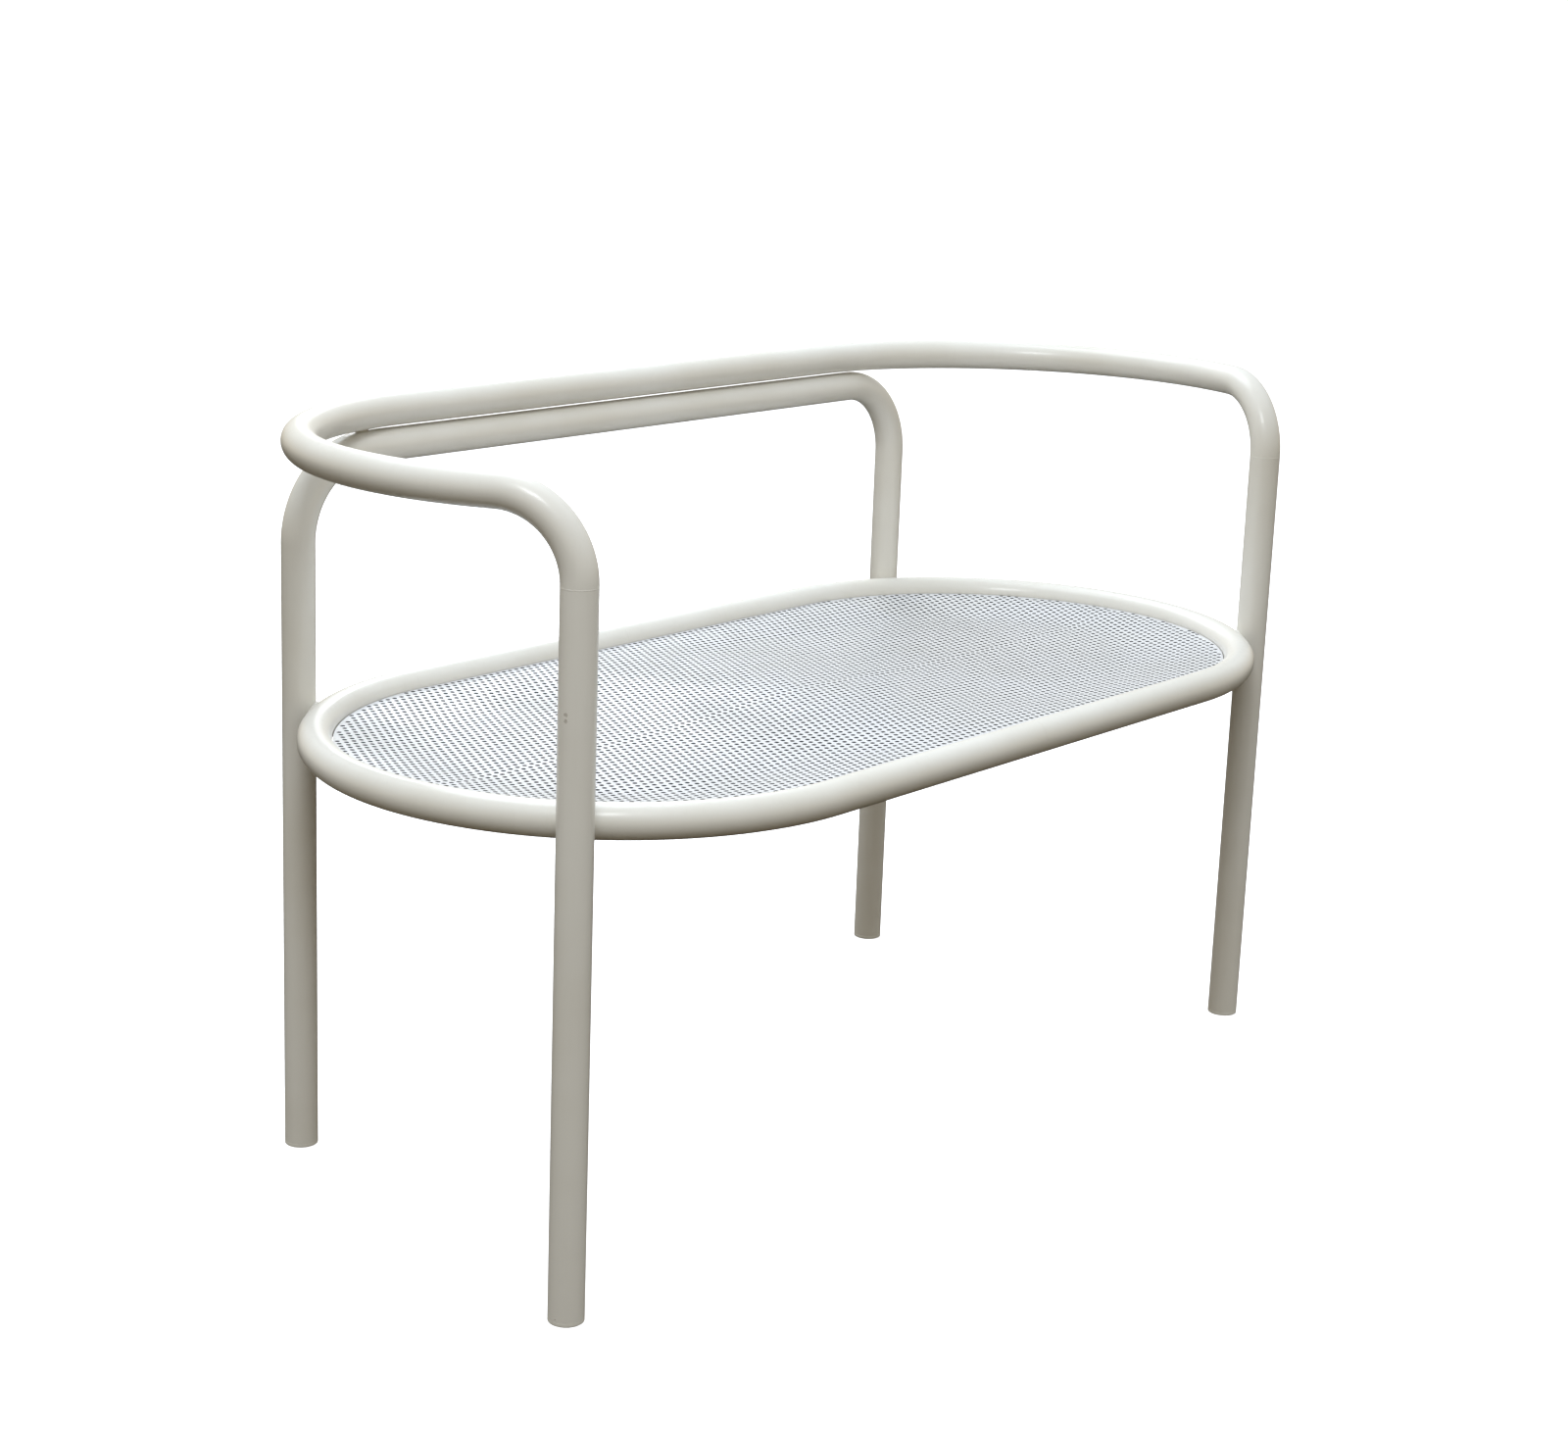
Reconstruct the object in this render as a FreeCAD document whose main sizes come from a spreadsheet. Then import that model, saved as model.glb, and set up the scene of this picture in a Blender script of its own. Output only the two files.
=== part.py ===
"""Garden bench for two: a welded steel-tube frame with a perforated sheet seat.

One tube makes the back rail and both arms, and stands on two front legs welded to its ends.
A second tube makes the two rear legs and the rail that runs just under the back rail.
A ring of the same tube, with round ends, carries the sheet seat between the four legs.
A flat bar on edge crosses the ring under the middle of the sheet.

Millimetres, +Z up, +Y to the back, so that a sitter faces -Y.
Left and right are as seen from the front: right is +X.
The origin is on the ground, below the middle of the seat ring.
"""

import FreeCAD, Part
import math
import os

import Sketcher

DIMENSIONS = {
    # the tube that every frame member is made of
    "tube_diameter": 33.7,
    "tube_wall": 2.0,
    # back rail and arms
    "rail_height": 750.0,
    "rail_straight_half": 336.0,
    "corner_radius": 283.0,
    "arm_turn_in": 24.8,
    "arm_bend_radius": 77.0,
    "rail_setback": 275.0,
    # rear legs and lower rail
    "rail_gap": 1.6,
    "hoop_bend_radius": 87.0,
    # seat ring and panel
    "seat_height": 458.0,
    "panel_thickness": 1.5,
    "panel_edge_gap": 0.8,
    # bar under the middle of the panel
    "crossbar_thickness": 6.0,
    "crossbar_depth": 14.0,
    "crossbar_weld_leg": 4.0,
    # welds and joints
    "root_gap": 1.2,
    "bead_rise": 0.35,
    "sleeve_length": 60.0,
    "sleeve_clearance": 0.1,
    "collar_radius": 11.0,
    "collar_groove": 5.0,
    "rail_weld_length": 10.0,
    "rail_weld_width": 8.0,
    "tack_radius": 3.5,
    "tack_drop": 0.9,
    # foot plugs
    "plug_flange": 4.0,
    "plug_shank": 22.0,
    "plug_clearance": 0.1,
    "plug_chamfer": 1.0,
}

TACKS_PER_STRAIGHT = 4
TACKS_PER_END = 5

doc = FreeCAD.newDocument("garden_bench")
sheet = doc.addObject("Spreadsheet::Sheet", "dims")
for row, (alias, value) in enumerate(DIMENSIONS.items(), start=1):
    sheet.set(f"A{row}", alias)
    sheet.set(f"B{row}", str(value))
    sheet.setAlias(f"B{row}", alias)
doc.recompute()

V = FreeCAD.Vector
UP = V(0, 0, 1)


def dim(alias):
    """The value of one driving dimension."""
    return float(sheet.get(alias))


# Derived places, all from the driving dimensions

TUBE_R = dim("tube_diameter") / 2
TURN = math.radians(dim("arm_turn_in"))
CORNER_Y = dim("rail_setback") - dim("corner_radius")
HOOP_RAIL_Z = dim("rail_height") - dim("tube_diameter") - dim("rail_gap")
SEAM_Z = dim("rail_height") - dim("arm_bend_radius")

ARM_END = V(
    dim("rail_straight_half") + dim("corner_radius") * math.cos(TURN),
    CORNER_Y - dim("corner_radius") * math.sin(TURN),
    dim("rail_height"),
)
FRONT_LEG = V(
    ARM_END.x - dim("arm_bend_radius") * math.sin(TURN),
    ARM_END.y - dim("arm_bend_radius") * math.cos(TURN),
    0,
)

# The ring touches the front legs from inside, and the rear legs stand where they touch it too.
CONTACT = dim("corner_radius") + dim("tube_diameter")
RING_STRAIGHT_HALF = FRONT_LEG.x - math.sqrt(CONTACT**2 - FRONT_LEG.y**2)
REAR_LEG = V(
    RING_STRAIGHT_HALF + math.sqrt(CONTACT**2 - dim("rail_setback") ** 2),
    dim("rail_setback"),
    0,
)


def basis(origin, x_axis, y_axis):
    """A placement whose local X and Y point along two given unit vectors."""
    z_axis = x_axis.cross(y_axis)
    return FreeCAD.Placement(
        FreeCAD.Matrix(
            x_axis.x, y_axis.x, z_axis.x, origin.x,
            x_axis.y, y_axis.y, z_axis.y, origin.y,
            x_axis.z, y_axis.z, z_axis.z, origin.z,
            0, 0, 0, 1,
        )
    )


def along(start, direction):
    """A placement whose local Z points along a direction."""
    return FreeCAD.Placement(start, FreeCAD.Rotation(UP, direction))


# Tube segments: each is an outer and an inner solid, so that a run of them is fused and bored once.

OUTER = "dims.tube_diameter / 2"
INNER = "dims.tube_diameter / 2 - dims.tube_wall"


def straight(name, start, direction, length):
    """Outer and inner cylinders of a straight run; length is an expression or a number."""
    pair = []
    for suffix, radius in (("outer", OUTER), ("inner", INNER)):
        rod = doc.addObject("Part::Cylinder", f"{name}_{suffix}")
        rod.setExpression("Radius", radius)
        if isinstance(length, str):
            rod.setExpression("Height", length)
        else:
            rod.Height = length
        rod.Placement = along(start, direction)
        pair.append(rod)
    return pair


def bend(name, centre, from_axis, to_axis, radius, angle):
    """Outer and inner torus sectors that turn from one direction towards another."""
    pair = []
    for suffix, minor in (("outer", OUTER), ("inner", INNER)):
        elbow = doc.addObject("Part::Torus", f"{name}_{suffix}")
        elbow.setExpression("Radius1", radius)
        elbow.setExpression("Radius2", minor)
        elbow.setExpression("Angle3", angle)
        elbow.Placement = basis(centre, from_axis, to_axis)
        pair.append(elbow)
    return pair


def fuse(name, shapes):
    """One solid from several that meet face to face."""
    if len(shapes) == 1:
        return shapes[0]
    joined = doc.addObject("Part::MultiFuse", name)
    joined.Shapes = shapes
    joined.Refine = False
    return joined


def cut(name, base, tool):
    """One solid less another."""
    result = doc.addObject("Part::Cut", name)
    result.Base = base
    result.Tool = tool
    return result


nodes = []


def keep(node, label):
    """Register a finished piece under its own label."""
    node.Label = label
    nodes.append(node)
    return node


def bent_tube(label, segments):
    """A hollow tube along a run of segments; returns it and its solid outer form."""
    outer = fuse(f"{label}_form", [pair[0] for pair in segments])
    inner = fuse(f"{label}_bore", [pair[1] for pair in segments])
    return keep(cut(f"{label}_tube", outer, inner), label), outer


# Back rail and arms


def arm(side):
    """Corner and end bend of one arm; side is +1 for the right end of the rail, -1 for the left."""
    name = "arm_right" if side > 0 else "arm_left"
    centre = V(side * dim("rail_straight_half"), CORNER_Y, dim("rail_height"))
    inward = V(-side * math.sin(TURN), -math.cos(TURN), 0)
    outward = V(side * math.cos(TURN), -math.sin(TURN), 0)
    back = V(-inward.x, -inward.y, 0)
    end = V(side * ARM_END.x, ARM_END.y, ARM_END.z)
    drop_centre = end - UP * dim("arm_bend_radius")
    corner = bend(f"{name}_corner", centre, outward, back, "dims.corner_radius", "90 + dims.arm_turn_in")
    drop = bend(f"{name}_drop", drop_centre, UP, inward, "dims.arm_bend_radius", "90")
    return [drop, corner]


rail_start = V(-dim("rail_straight_half"), dim("rail_setback"), dim("rail_height"))
rail_run = straight("back_run", rail_start, V(1, 0, 0), "2 * dims.rail_straight_half")
back_arm_rail, back_arm_form = bent_tube("back_arm_rail", arm(-1) + [rail_run] + arm(1))


# Front legs, butt welded to the ends of the rail


def at_side(point, side):
    """The same point at the left or the right end of the bench."""
    return V(side * point.x, point.y, point.z)


SIDES = (("left", -1), ("right", 1))
leg_forms = {}
for word, side in SIDES:
    foot_top = at_side(FRONT_LEG, side) + UP * dim("plug_flange")
    leg_length = "dims.rail_height - dims.arm_bend_radius - dims.root_gap - dims.plug_flange"
    leg_run = straight(f"front_leg_{word}", foot_top, UP, leg_length)
    tube, leg_forms["front", word] = bent_tube(f"front_{word}_leg", [leg_run])


# Rear hoop: two legs and the lower rail in one tube

hoop_end_x = REAR_LEG.x - dim("hoop_bend_radius")
hoop_end_z = HOOP_RAIL_Z - dim("hoop_bend_radius")
hoop_segments = []
for word, side in SIDES:
    base = at_side(REAR_LEG, side) + UP * dim("plug_flange")
    leg_run = straight(f"rear_leg_{word}", base, UP, hoop_end_z - dim("plug_flange"))
    centre = V(side * hoop_end_x, dim("rail_setback"), hoop_end_z)
    elbow = bend(f"hoop_corner_{word}", centre, V(side, 0, 0), UP, "dims.hoop_bend_radius", "90")
    hoop_segments += [leg_run, elbow]
    leg_forms["rear", word] = leg_run[0]
hoop_start = V(-hoop_end_x, dim("rail_setback"), HOOP_RAIL_Z)
hoop_segments.append(straight("hoop_run", hoop_start, V(1, 0, 0), 2 * hoop_end_x))
rear_hoop, rear_hoop_form = bent_tube("rear_hoop", hoop_segments)


# Seat ring: two halves that meet at the middle of the front and rear runs

ring_forms = {}
seam_half = dim("root_gap") / 2
for word, side in SIDES:
    ends = []
    for place, y_sign in (("front", -1), ("rear", 1)):
        start = V(side * seam_half, y_sign * dim("corner_radius"), dim("seat_height"))
        run_length = RING_STRAIGHT_HALF - seam_half
        ends.append(straight(f"ring_{place}_{word}", start, V(side, 0, 0), run_length))
    centre = V(side * RING_STRAIGHT_HALF, 0, dim("seat_height"))
    turn = bend(f"ring_end_{word}", centre, V(0, -side, 0), V(side, 0, 0), "dims.corner_radius", "180")
    tube, ring_forms[word] = bent_tube(f"seat_ring_{word}", [ends[0], turn, ends[1]])


# Crossbar: a flat bar on edge, coped at its ends to clear the ring's seam beads, and the welds beside them


def crossing_bar(name, width, height, clearance):
    """A bar right across the ring under the panel, with its ends cut round the ring's tube."""
    bar = doc.addObject("Part::Box", f"{name}_blank")
    bar.Length = width
    bar.setExpression("Width", "2 * dims.corner_radius")
    bar.Height = height
    under_panel = dim("seat_height") - dim("panel_thickness")
    bar.Placement.Base = V(-width / 2, -dim("corner_radius"), under_panel - height)
    trimmed = bar
    for place, y_sign in (("front", -1), ("rear", 1)):
        rod = doc.addObject("Part::Cylinder", f"{name}_{place}_cope")
        rod.Radius = TUBE_R + clearance
        rod.Height = 2 * width
        rod.Placement = along(V(-width, y_sign * dim("corner_radius"), dim("seat_height")), V(1, 0, 0))
        trimmed = cut(f"{name}_{place}_coped", trimmed, rod)
    # the cope leaves a crumb of the blank beyond each tube, so only the middle is kept
    window = doc.addObject("Part::Box", f"{name}_window")
    window.Length = 2 * width
    window.setExpression("Width", "2 * (dims.corner_radius - dims.tube_diameter / 4)")
    window.Height = 2 * height
    window_y = dim("tube_diameter") / 4 - dim("corner_radius")
    window.Placement.Base = V(-width, window_y, under_panel - 2 * height)
    middle = doc.addObject("Part::Common", f"{name}_middle")
    middle.Base = trimmed
    middle.Tool = window
    return middle


crossbar = crossing_bar("crossbar", dim("crossbar_thickness"), dim("crossbar_depth"), dim("bead_rise"))
keep(crossbar, "seat_crossbar")

weld_span = dim("crossbar_thickness") + 2 * dim("crossbar_weld_leg")
for place, y_sign in (("front", -1), ("rear", 1)):
    label = f"crossbar_weld_{place}"
    height = dim("crossbar_depth") - dim("crossbar_weld_leg")
    weld_blank = crossing_bar(f"{label}_blank", weld_span, height, 0)
    end_box = doc.addObject("Part::Box", f"{label}_end")
    end_box.Length = 2 * weld_span
    end_box.setExpression("Width", "dims.tube_diameter")
    end_box.Height = 2 * dim("crossbar_depth")
    start = y_sign * (dim("corner_radius") - TUBE_R - dim("crossbar_weld_leg"))
    end_y = start if y_sign > 0 else start - dim("tube_diameter")
    end_box.Placement.Base = V(-weld_span, end_y, dim("seat_height") - 2 * dim("crossbar_depth"))
    at_end = doc.addObject("Part::Common", f"{label}_at_end")
    at_end.Base = weld_blank
    at_end.Tool = end_box
    slot = doc.addObject("Part::Box", f"{label}_slot")
    slot.setExpression("Length", "dims.crossbar_thickness")
    slot.setExpression("Width", "4 * dims.tube_diameter")
    slot.Height = 4 * dim("crossbar_depth")
    slot_y = y_sign * dim("corner_radius") - 2 * dim("tube_diameter")
    slot_z = dim("seat_height") - 2 * dim("crossbar_depth")
    slot.Placement.Base = V(-dim("crossbar_thickness") / 2, slot_y, slot_z)
    keep(cut(f"{label}_beads", at_end, slot), label)


# Butt welds and the sleeves inside the ring's joints


def collar(label, start, direction, outer, inner, height):
    """A short hollow cylinder whose radii and height are expressions."""
    pair = []
    for suffix, radius in (("outside", outer), ("inside", inner)):
        rod = doc.addObject("Part::Cylinder", f"{label}_{suffix}")
        rod.setExpression("Radius", radius)
        rod.setExpression("Height", height)
        rod.Placement = along(start, direction)
        pair.append(rod)
    return keep(cut(f"{label}_ring", pair[0], pair[1]), label)


BEAD = "dims.tube_diameter / 2 + dims.bead_rise"
for word, side in SIDES:
    seam = at_side(FRONT_LEG, side) + UP * (SEAM_Z - dim("root_gap"))
    collar(f"leg_seam_weld_{word}", seam, UP, BEAD, INNER, "dims.root_gap")

SLEEVE_OUTER = INNER + " - dims.sleeve_clearance"
SLEEVE_INNER = SLEEVE_OUTER + " - dims.tube_wall"
for word, y_sign in (("front", -1), ("rear", 1)):
    seam = V(-seam_half, y_sign * dim("corner_radius"), dim("seat_height"))
    collar(f"ring_seam_weld_{word}", seam, V(1, 0, 0), BEAD, INNER, "dims.root_gap")
    sleeve_start = seam + V(seam_half - dim("sleeve_length") / 2, 0, 0)
    collar(f"ring_sleeve_{word}", sleeve_start, V(1, 0, 0), SLEEVE_OUTER, SLEEVE_INNER, "dims.sleeve_length")


# Helpers for the pieces made as PartDesign bodies


def origin_plane(body, role):
    """One of a body's own origin planes."""
    return next(item for item in body.Origin.OriginFeatures if item.Role == role)


def sketch_on(body, role, name):
    """A sketch attached to one of a body's origin planes."""
    sketch = body.newObject("Sketcher::SketchObject", name)
    sketch.AttachmentSupport = [(origin_plane(body, role), "")]
    sketch.MapMode = "FlatFace"
    return sketch


def turned_body(name, outline):
    """A PartDesign body turned about its own Z from a half section in its XZ plane."""
    body = doc.addObject("PartDesign::Body", f"{name}_body")
    section = sketch_on(body, "XZ_Plane", f"{name}_section")
    outline(section)
    turned = body.newObject("PartDesign::Revolution", f"{name}_turned")
    turned.Profile = section
    turned.ReferenceAxis = (section, ["V_Axis"])
    turned.Angle = 360
    return body


# Fillet welds where the ring touches the legs: a disc round the contact point with a hollow rim


def collar_outline(sketch):
    """Half section of the disc in its own XZ plane, with a round groove in its rim."""
    rim = dim("collar_radius")
    reach = TUBE_R / 2
    axis = rim + dim("collar_groove") / 2
    lip = math.sqrt(dim("collar_groove") ** 2 - (axis - rim) ** 2)
    points = [
        V(rim, lip, 0),
        V(rim, reach, 0),
        V(0, reach, 0),
        V(0, -reach, 0),
        V(rim, -reach, 0),
        V(rim, -lip, 0),
    ]
    for start, end in zip(points, points[1:]):
        sketch.addGeometry(Part.LineSegment(start, end))
    deepest = V(axis - dim("collar_groove"), 0, 0)
    sketch.addGeometry(Part.Arc(points[-1], deepest, points[0]))


for (place, word), leg_form in leg_forms.items():
    side = dict(SIDES)[word]
    leg = at_side(FRONT_LEG if place == "front" else REAR_LEG, side)
    ring_centre = V(side * RING_STRAIGHT_HALF, 0, 0)
    outward = (leg - ring_centre).normalize()
    touch = ring_centre + outward * (dim("corner_radius") + TUBE_R) + UP * dim("seat_height")
    label = f"weld_{place}_{word}"
    disc = turned_body(f"{label}_disc", collar_outline)
    disc.Placement = basis(touch, UP, outward.cross(UP))
    off_leg = cut(f"{label}_off_leg", disc, leg_form)
    keep(cut(f"{label}_bead", off_leg, ring_forms[word]), label)


# Short weld between the back rail and the hoop's rail, just past the left end of the hoop's straight run

block = doc.addObject("Part::Box", "rail_weld_block")
block.setExpression("Length", "dims.rail_weld_length")
block.setExpression("Width", "dims.rail_weld_width")
block.setExpression("Height", "dims.tube_diameter / 2")
weld_x = -hoop_end_x - dim("rail_weld_length") / 2
between_rails = V(weld_x, dim("rail_setback"), (dim("rail_height") + HOOP_RAIL_Z) / 2)
block.Placement.Base = between_rails - V(dim("rail_weld_length"), dim("rail_weld_width"), TUBE_R) * 0.5
off_hoop = cut("rail_weld_off_hoop", block, rear_hoop_form)
keep(cut("rail_weld_bead", off_hoop, back_arm_form), "rail_weld_left")


# Seat panel and foot plugs: PartDesign bodies


def stadium(sketch, half_length, radius):
    """Two straight edges joined by half circles, with the radius driven by the sheet."""
    quarter = math.pi / 2
    left_circle = Part.Circle(V(-half_length, 0, 0), UP, radius)
    right_circle = Part.Circle(V(half_length, 0, 0), UP, radius)
    left_arc = Part.ArcOfCircle(left_circle, quarter, 3 * quarter)
    right_arc = Part.ArcOfCircle(right_circle, -quarter, quarter)
    sketch.addGeometry(left_arc)
    sketch.addGeometry(Part.LineSegment(V(-half_length, -radius, 0), V(half_length, -radius, 0)))
    sketch.addGeometry(right_arc)
    sketch.addGeometry(Part.LineSegment(V(half_length, radius, 0), V(-half_length, radius, 0)))
    for first, second in ((0, 1), (1, 2), (2, 3), (3, 0)):
        sketch.addConstraint(Sketcher.Constraint("Tangent", first, 2, second, 1))
    radius_rule = sketch.addConstraint(Sketcher.Constraint("Radius", 0, radius))
    edge = "dims.corner_radius - dims.tube_diameter / 2 - dims.panel_edge_gap"
    sketch.setExpression(f"Constraints[{radius_rule}]", edge)


panel_radius = dim("corner_radius") - TUBE_R - dim("panel_edge_gap")
panel = doc.addObject("PartDesign::Body", "panel_body")
panel_outline = sketch_on(panel, "XY_Plane", "panel_outline")
stadium(panel_outline, RING_STRAIGHT_HALF, panel_radius)
panel_sheet = panel.newObject("PartDesign::Pad", "panel_sheet")
panel_sheet.Profile = panel_outline
panel_sheet.setExpression("Length", "dims.panel_thickness")
panel.Placement.Base = UP * (dim("seat_height") - dim("panel_thickness"))
keep(panel, "seat_panel")


def plug_outline(sketch):
    """Half section of a foot plug in its own XZ plane: a chamfered flange under a hollow shank."""
    flange = TUBE_R
    shank = TUBE_R - dim("tube_wall") - dim("plug_clearance")
    core = shank - dim("tube_wall")
    chamfer = dim("plug_chamfer")
    base = dim("plug_flange")
    top = base + dim("plug_shank")
    points = [
        V(0, 0, 0),
        V(flange - chamfer, 0, 0),
        V(flange, chamfer, 0),
        V(flange, base, 0),
        V(shank, base, 0),
        V(shank - chamfer, top, 0),
        V(core - chamfer, top, 0),
        V(core - chamfer, base, 0),
        V(0, base, 0),
    ]
    for start, end in zip(points, points[1:] + points[:1]):
        sketch.addGeometry(Part.LineSegment(start, end))


for place, leg in (("front", FRONT_LEG), ("rear", REAR_LEG)):
    for word, side in SIDES:
        label = f"foot_{place}_{word}"
        plug = turned_body(label, plug_outline)
        plug.Placement.Base = at_side(leg, side)
        keep(plug, label)


# Tack welds that hold the sheet to the ring from below, round the whole edge

doc.recompute()


def tack_places():
    """Middle of each tack: along both straight edges and round both ends."""
    reach = dim("corner_radius") - TUBE_R - dim("panel_edge_gap") / 2
    height = dim("seat_height") - dim("panel_thickness") - dim("tack_drop")
    for y_sign in (-1, 1):
        for index in range(TACKS_PER_STRAIGHT):
            share = (index + 0.5) / TACKS_PER_STRAIGHT
            yield V((2 * share - 1) * RING_STRAIGHT_HALF, y_sign * reach, height)
    for _, side in SIDES:
        for index in range(TACKS_PER_END):
            angle = math.pi * ((index + 0.5) / TACKS_PER_END - 0.5)
            x = side * (RING_STRAIGHT_HALF + reach * math.cos(angle))
            yield V(x, reach * math.sin(angle), height)


def tack_bead(middle):
    """A small blob of weld in the corner between the sheet's edge and the ring."""
    blob = Part.makeSphere(dim("tack_radius"), middle)
    blob = blob.cut(panel.Shape)
    for form in ring_forms.values():
        blob = blob.cut(form.Shape)
    above = Part.makeCylinder(2 * dim("tack_radius"), 2 * dim("tack_radius"), middle, UP)
    above.translate(UP * (dim("seat_height") - middle.z - dim("panel_thickness") / 2))
    pieces = blob.cut(above).Solids
    return max(pieces, key=lambda solid: solid.Volume)


tacks = doc.addObject("Part::Feature", "tack_group")
tacks.Shape = Part.makeCompound([tack_bead(middle) for middle in tack_places()])
keep(tacks, "panel_tack_welds")

doc.recompute()

for item in doc.Objects:
    if "Invalid" in item.State or "Error" in item.State:
        raise RuntimeError(f"{item.Name} failed: {item.State}")
for node in nodes:
    if node.Shape.isNull() or not node.Shape.isValid():
        raise RuntimeError(f"{node.Label} has no valid shape")

os.makedirs("parts", exist_ok=True)
for node in nodes:
    node.Shape.exportStep(f"parts/{node.Label}.step")
    print(f"{node.Label}: {len(node.Shape.Solids)} solid(s), {node.Shape.Volume / 1000:.2f} cm3")
print(f"{len(nodes)} nodes, front leg {FRONT_LEG}, rear leg {REAR_LEG}, ring half {RING_STRAIGHT_HALF:.1f}")
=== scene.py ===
"""Garden bench for two: the finished looks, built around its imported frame.

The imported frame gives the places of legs, rails, ring and seat. Each class below holds the sizes of one
sub-assembly, builds its meshes and dresses them. Metres, +Z up, +Y to the back of the bench; left and
right are as seen from the front, so right is +X.
"""

import logging
import math
from dataclasses import dataclass, field
from enum import Enum
from typing import Any, Callable, Iterable, Sequence

import bmesh
import bpy
from mathutils import Matrix, Vector


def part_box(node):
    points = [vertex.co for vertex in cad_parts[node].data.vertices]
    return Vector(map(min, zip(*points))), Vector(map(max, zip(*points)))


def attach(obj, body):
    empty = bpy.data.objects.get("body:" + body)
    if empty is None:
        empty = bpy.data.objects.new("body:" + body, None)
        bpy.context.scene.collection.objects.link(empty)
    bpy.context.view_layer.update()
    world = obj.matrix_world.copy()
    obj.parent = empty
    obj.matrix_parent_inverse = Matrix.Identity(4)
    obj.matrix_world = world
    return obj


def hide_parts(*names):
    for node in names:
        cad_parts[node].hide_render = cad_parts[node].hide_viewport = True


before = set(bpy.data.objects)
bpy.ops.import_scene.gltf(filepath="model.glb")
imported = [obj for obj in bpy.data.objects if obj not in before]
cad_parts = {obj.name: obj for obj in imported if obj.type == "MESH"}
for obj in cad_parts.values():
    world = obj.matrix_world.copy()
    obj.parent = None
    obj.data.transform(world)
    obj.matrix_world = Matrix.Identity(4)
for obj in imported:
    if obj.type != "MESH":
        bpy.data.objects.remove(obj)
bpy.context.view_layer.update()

LOG = logging.getLogger("garden_bench")
MM = 0.001
UP = Vector((0.0, 0.0, 1.0))
TUBE_RADIUS = 16.85 * MM
NEAR_LEG_CHIP_HEIGHTS = (0.5645, 0.5590)
NEAR_LEG_CHIP_RADIUS = 2.4 * MM
NEAR_LEG_CHIP_TURN = 0.85
ROOT_BODY = "root"

Colour = tuple[float, float, float]


class Side(Enum):
    """The left or the right end of the bench, as its sign along X."""

    LEFT = -1
    RIGHT = 1

    @property
    def word(self) -> str:
        """The side as it stands in node names."""
        return self.name.lower()


class Slot(Enum):
    """The record's material slots."""

    FRAME = "frame_paint"
    WELD = "weld_paint"
    SLEEVE = "sleeve_steel"
    PANEL = "panel_paint"
    PLUG = "plug_plastic"


# Node trees -------------------------------------------------------------------------------------


class Number:
    """A socket that carries one number and takes part in Python arithmetic."""

    def __init__(self, tree: "Tree", socket: bpy.types.NodeSocket) -> None:
        """Wraps an output socket.

        Args:
            tree: The tree that new Math nodes go into.
            socket: The output that carries the number.
        """
        self.tree = tree
        self.socket = socket

    def _math(self, operation: str, *values: Any) -> "Number":
        """Adds one Math node.

        Args:
            operation: The node's operation.
            values: Its inputs, numbers or sockets.

        Returns:
            The node's result.
        """
        made = self.tree.node("ShaderNodeMath", {"operation": operation}, dict(enumerate(values)))
        return Number(self.tree, made.outputs[0])

    @staticmethod
    def _operator(operation: str, swapped: bool = False) -> Callable[..., "Number"]:
        """Makes one of Python's arithmetic methods out of a Math node.

        Args:
            operation: The node's operation.
            swapped: Whether this number is the second of the two.

        Returns:
            The method.
        """

        def apply(self: "Number", *others: Any) -> "Number":
            values = (*others, self) if swapped else (self, *others)
            return self._math(operation, *values)

        return apply

    __add__ = _operator("ADD")
    __radd__ = _operator("ADD", swapped=True)
    __sub__ = _operator("SUBTRACT")
    __rsub__ = _operator("SUBTRACT", swapped=True)
    __mul__ = _operator("MULTIPLY")
    __rmul__ = _operator("MULTIPLY", swapped=True)
    __truediv__ = _operator("DIVIDE")
    __abs__ = _operator("ABSOLUTE")

    def above(self, limit: Any) -> "Number":
        """1 where this is greater than the limit, else 0."""
        return self._math("GREATER_THAN", self, limit)

    def at_least(self, floor: Any) -> "Number":
        """The greater of this and the floor."""
        return self._math("MAXIMUM", self, floor)

    def root(self) -> "Number":
        """The square root."""
        return self._math("SQRT", self)

    def exp(self) -> "Number":
        """The exponential."""
        return self._math("EXPONENT", self)

    def nearest(self) -> "Number":
        """The nearest whole number."""
        return self._math("ROUND", self)

    def modulo(self, step: Any) -> "Number":
        """What is left over the last whole step below this."""
        return self._math("FLOORED_MODULO", self, step)

    def ramp(self, low: float, high: float) -> "Number":
        """A smooth step.

        Args:
            low: Where the result is 0.
            high: Where the result is 1; it may lie below low.

        Returns:
            0 to 1, eased at both ends.
        """
        sockets = {"Value": self, "From Min": low, "From Max": high}
        settings = {"interpolation_type": "SMOOTHSTEP"}
        if high < low:
            sockets.update({"From Min": high, "From Max": low, "To Min": 1.0, "To Max": 0.0})
        made = self.tree.node("ShaderNodeMapRange", settings, sockets)
        return Number(self.tree, made.outputs["Result"])


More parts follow.
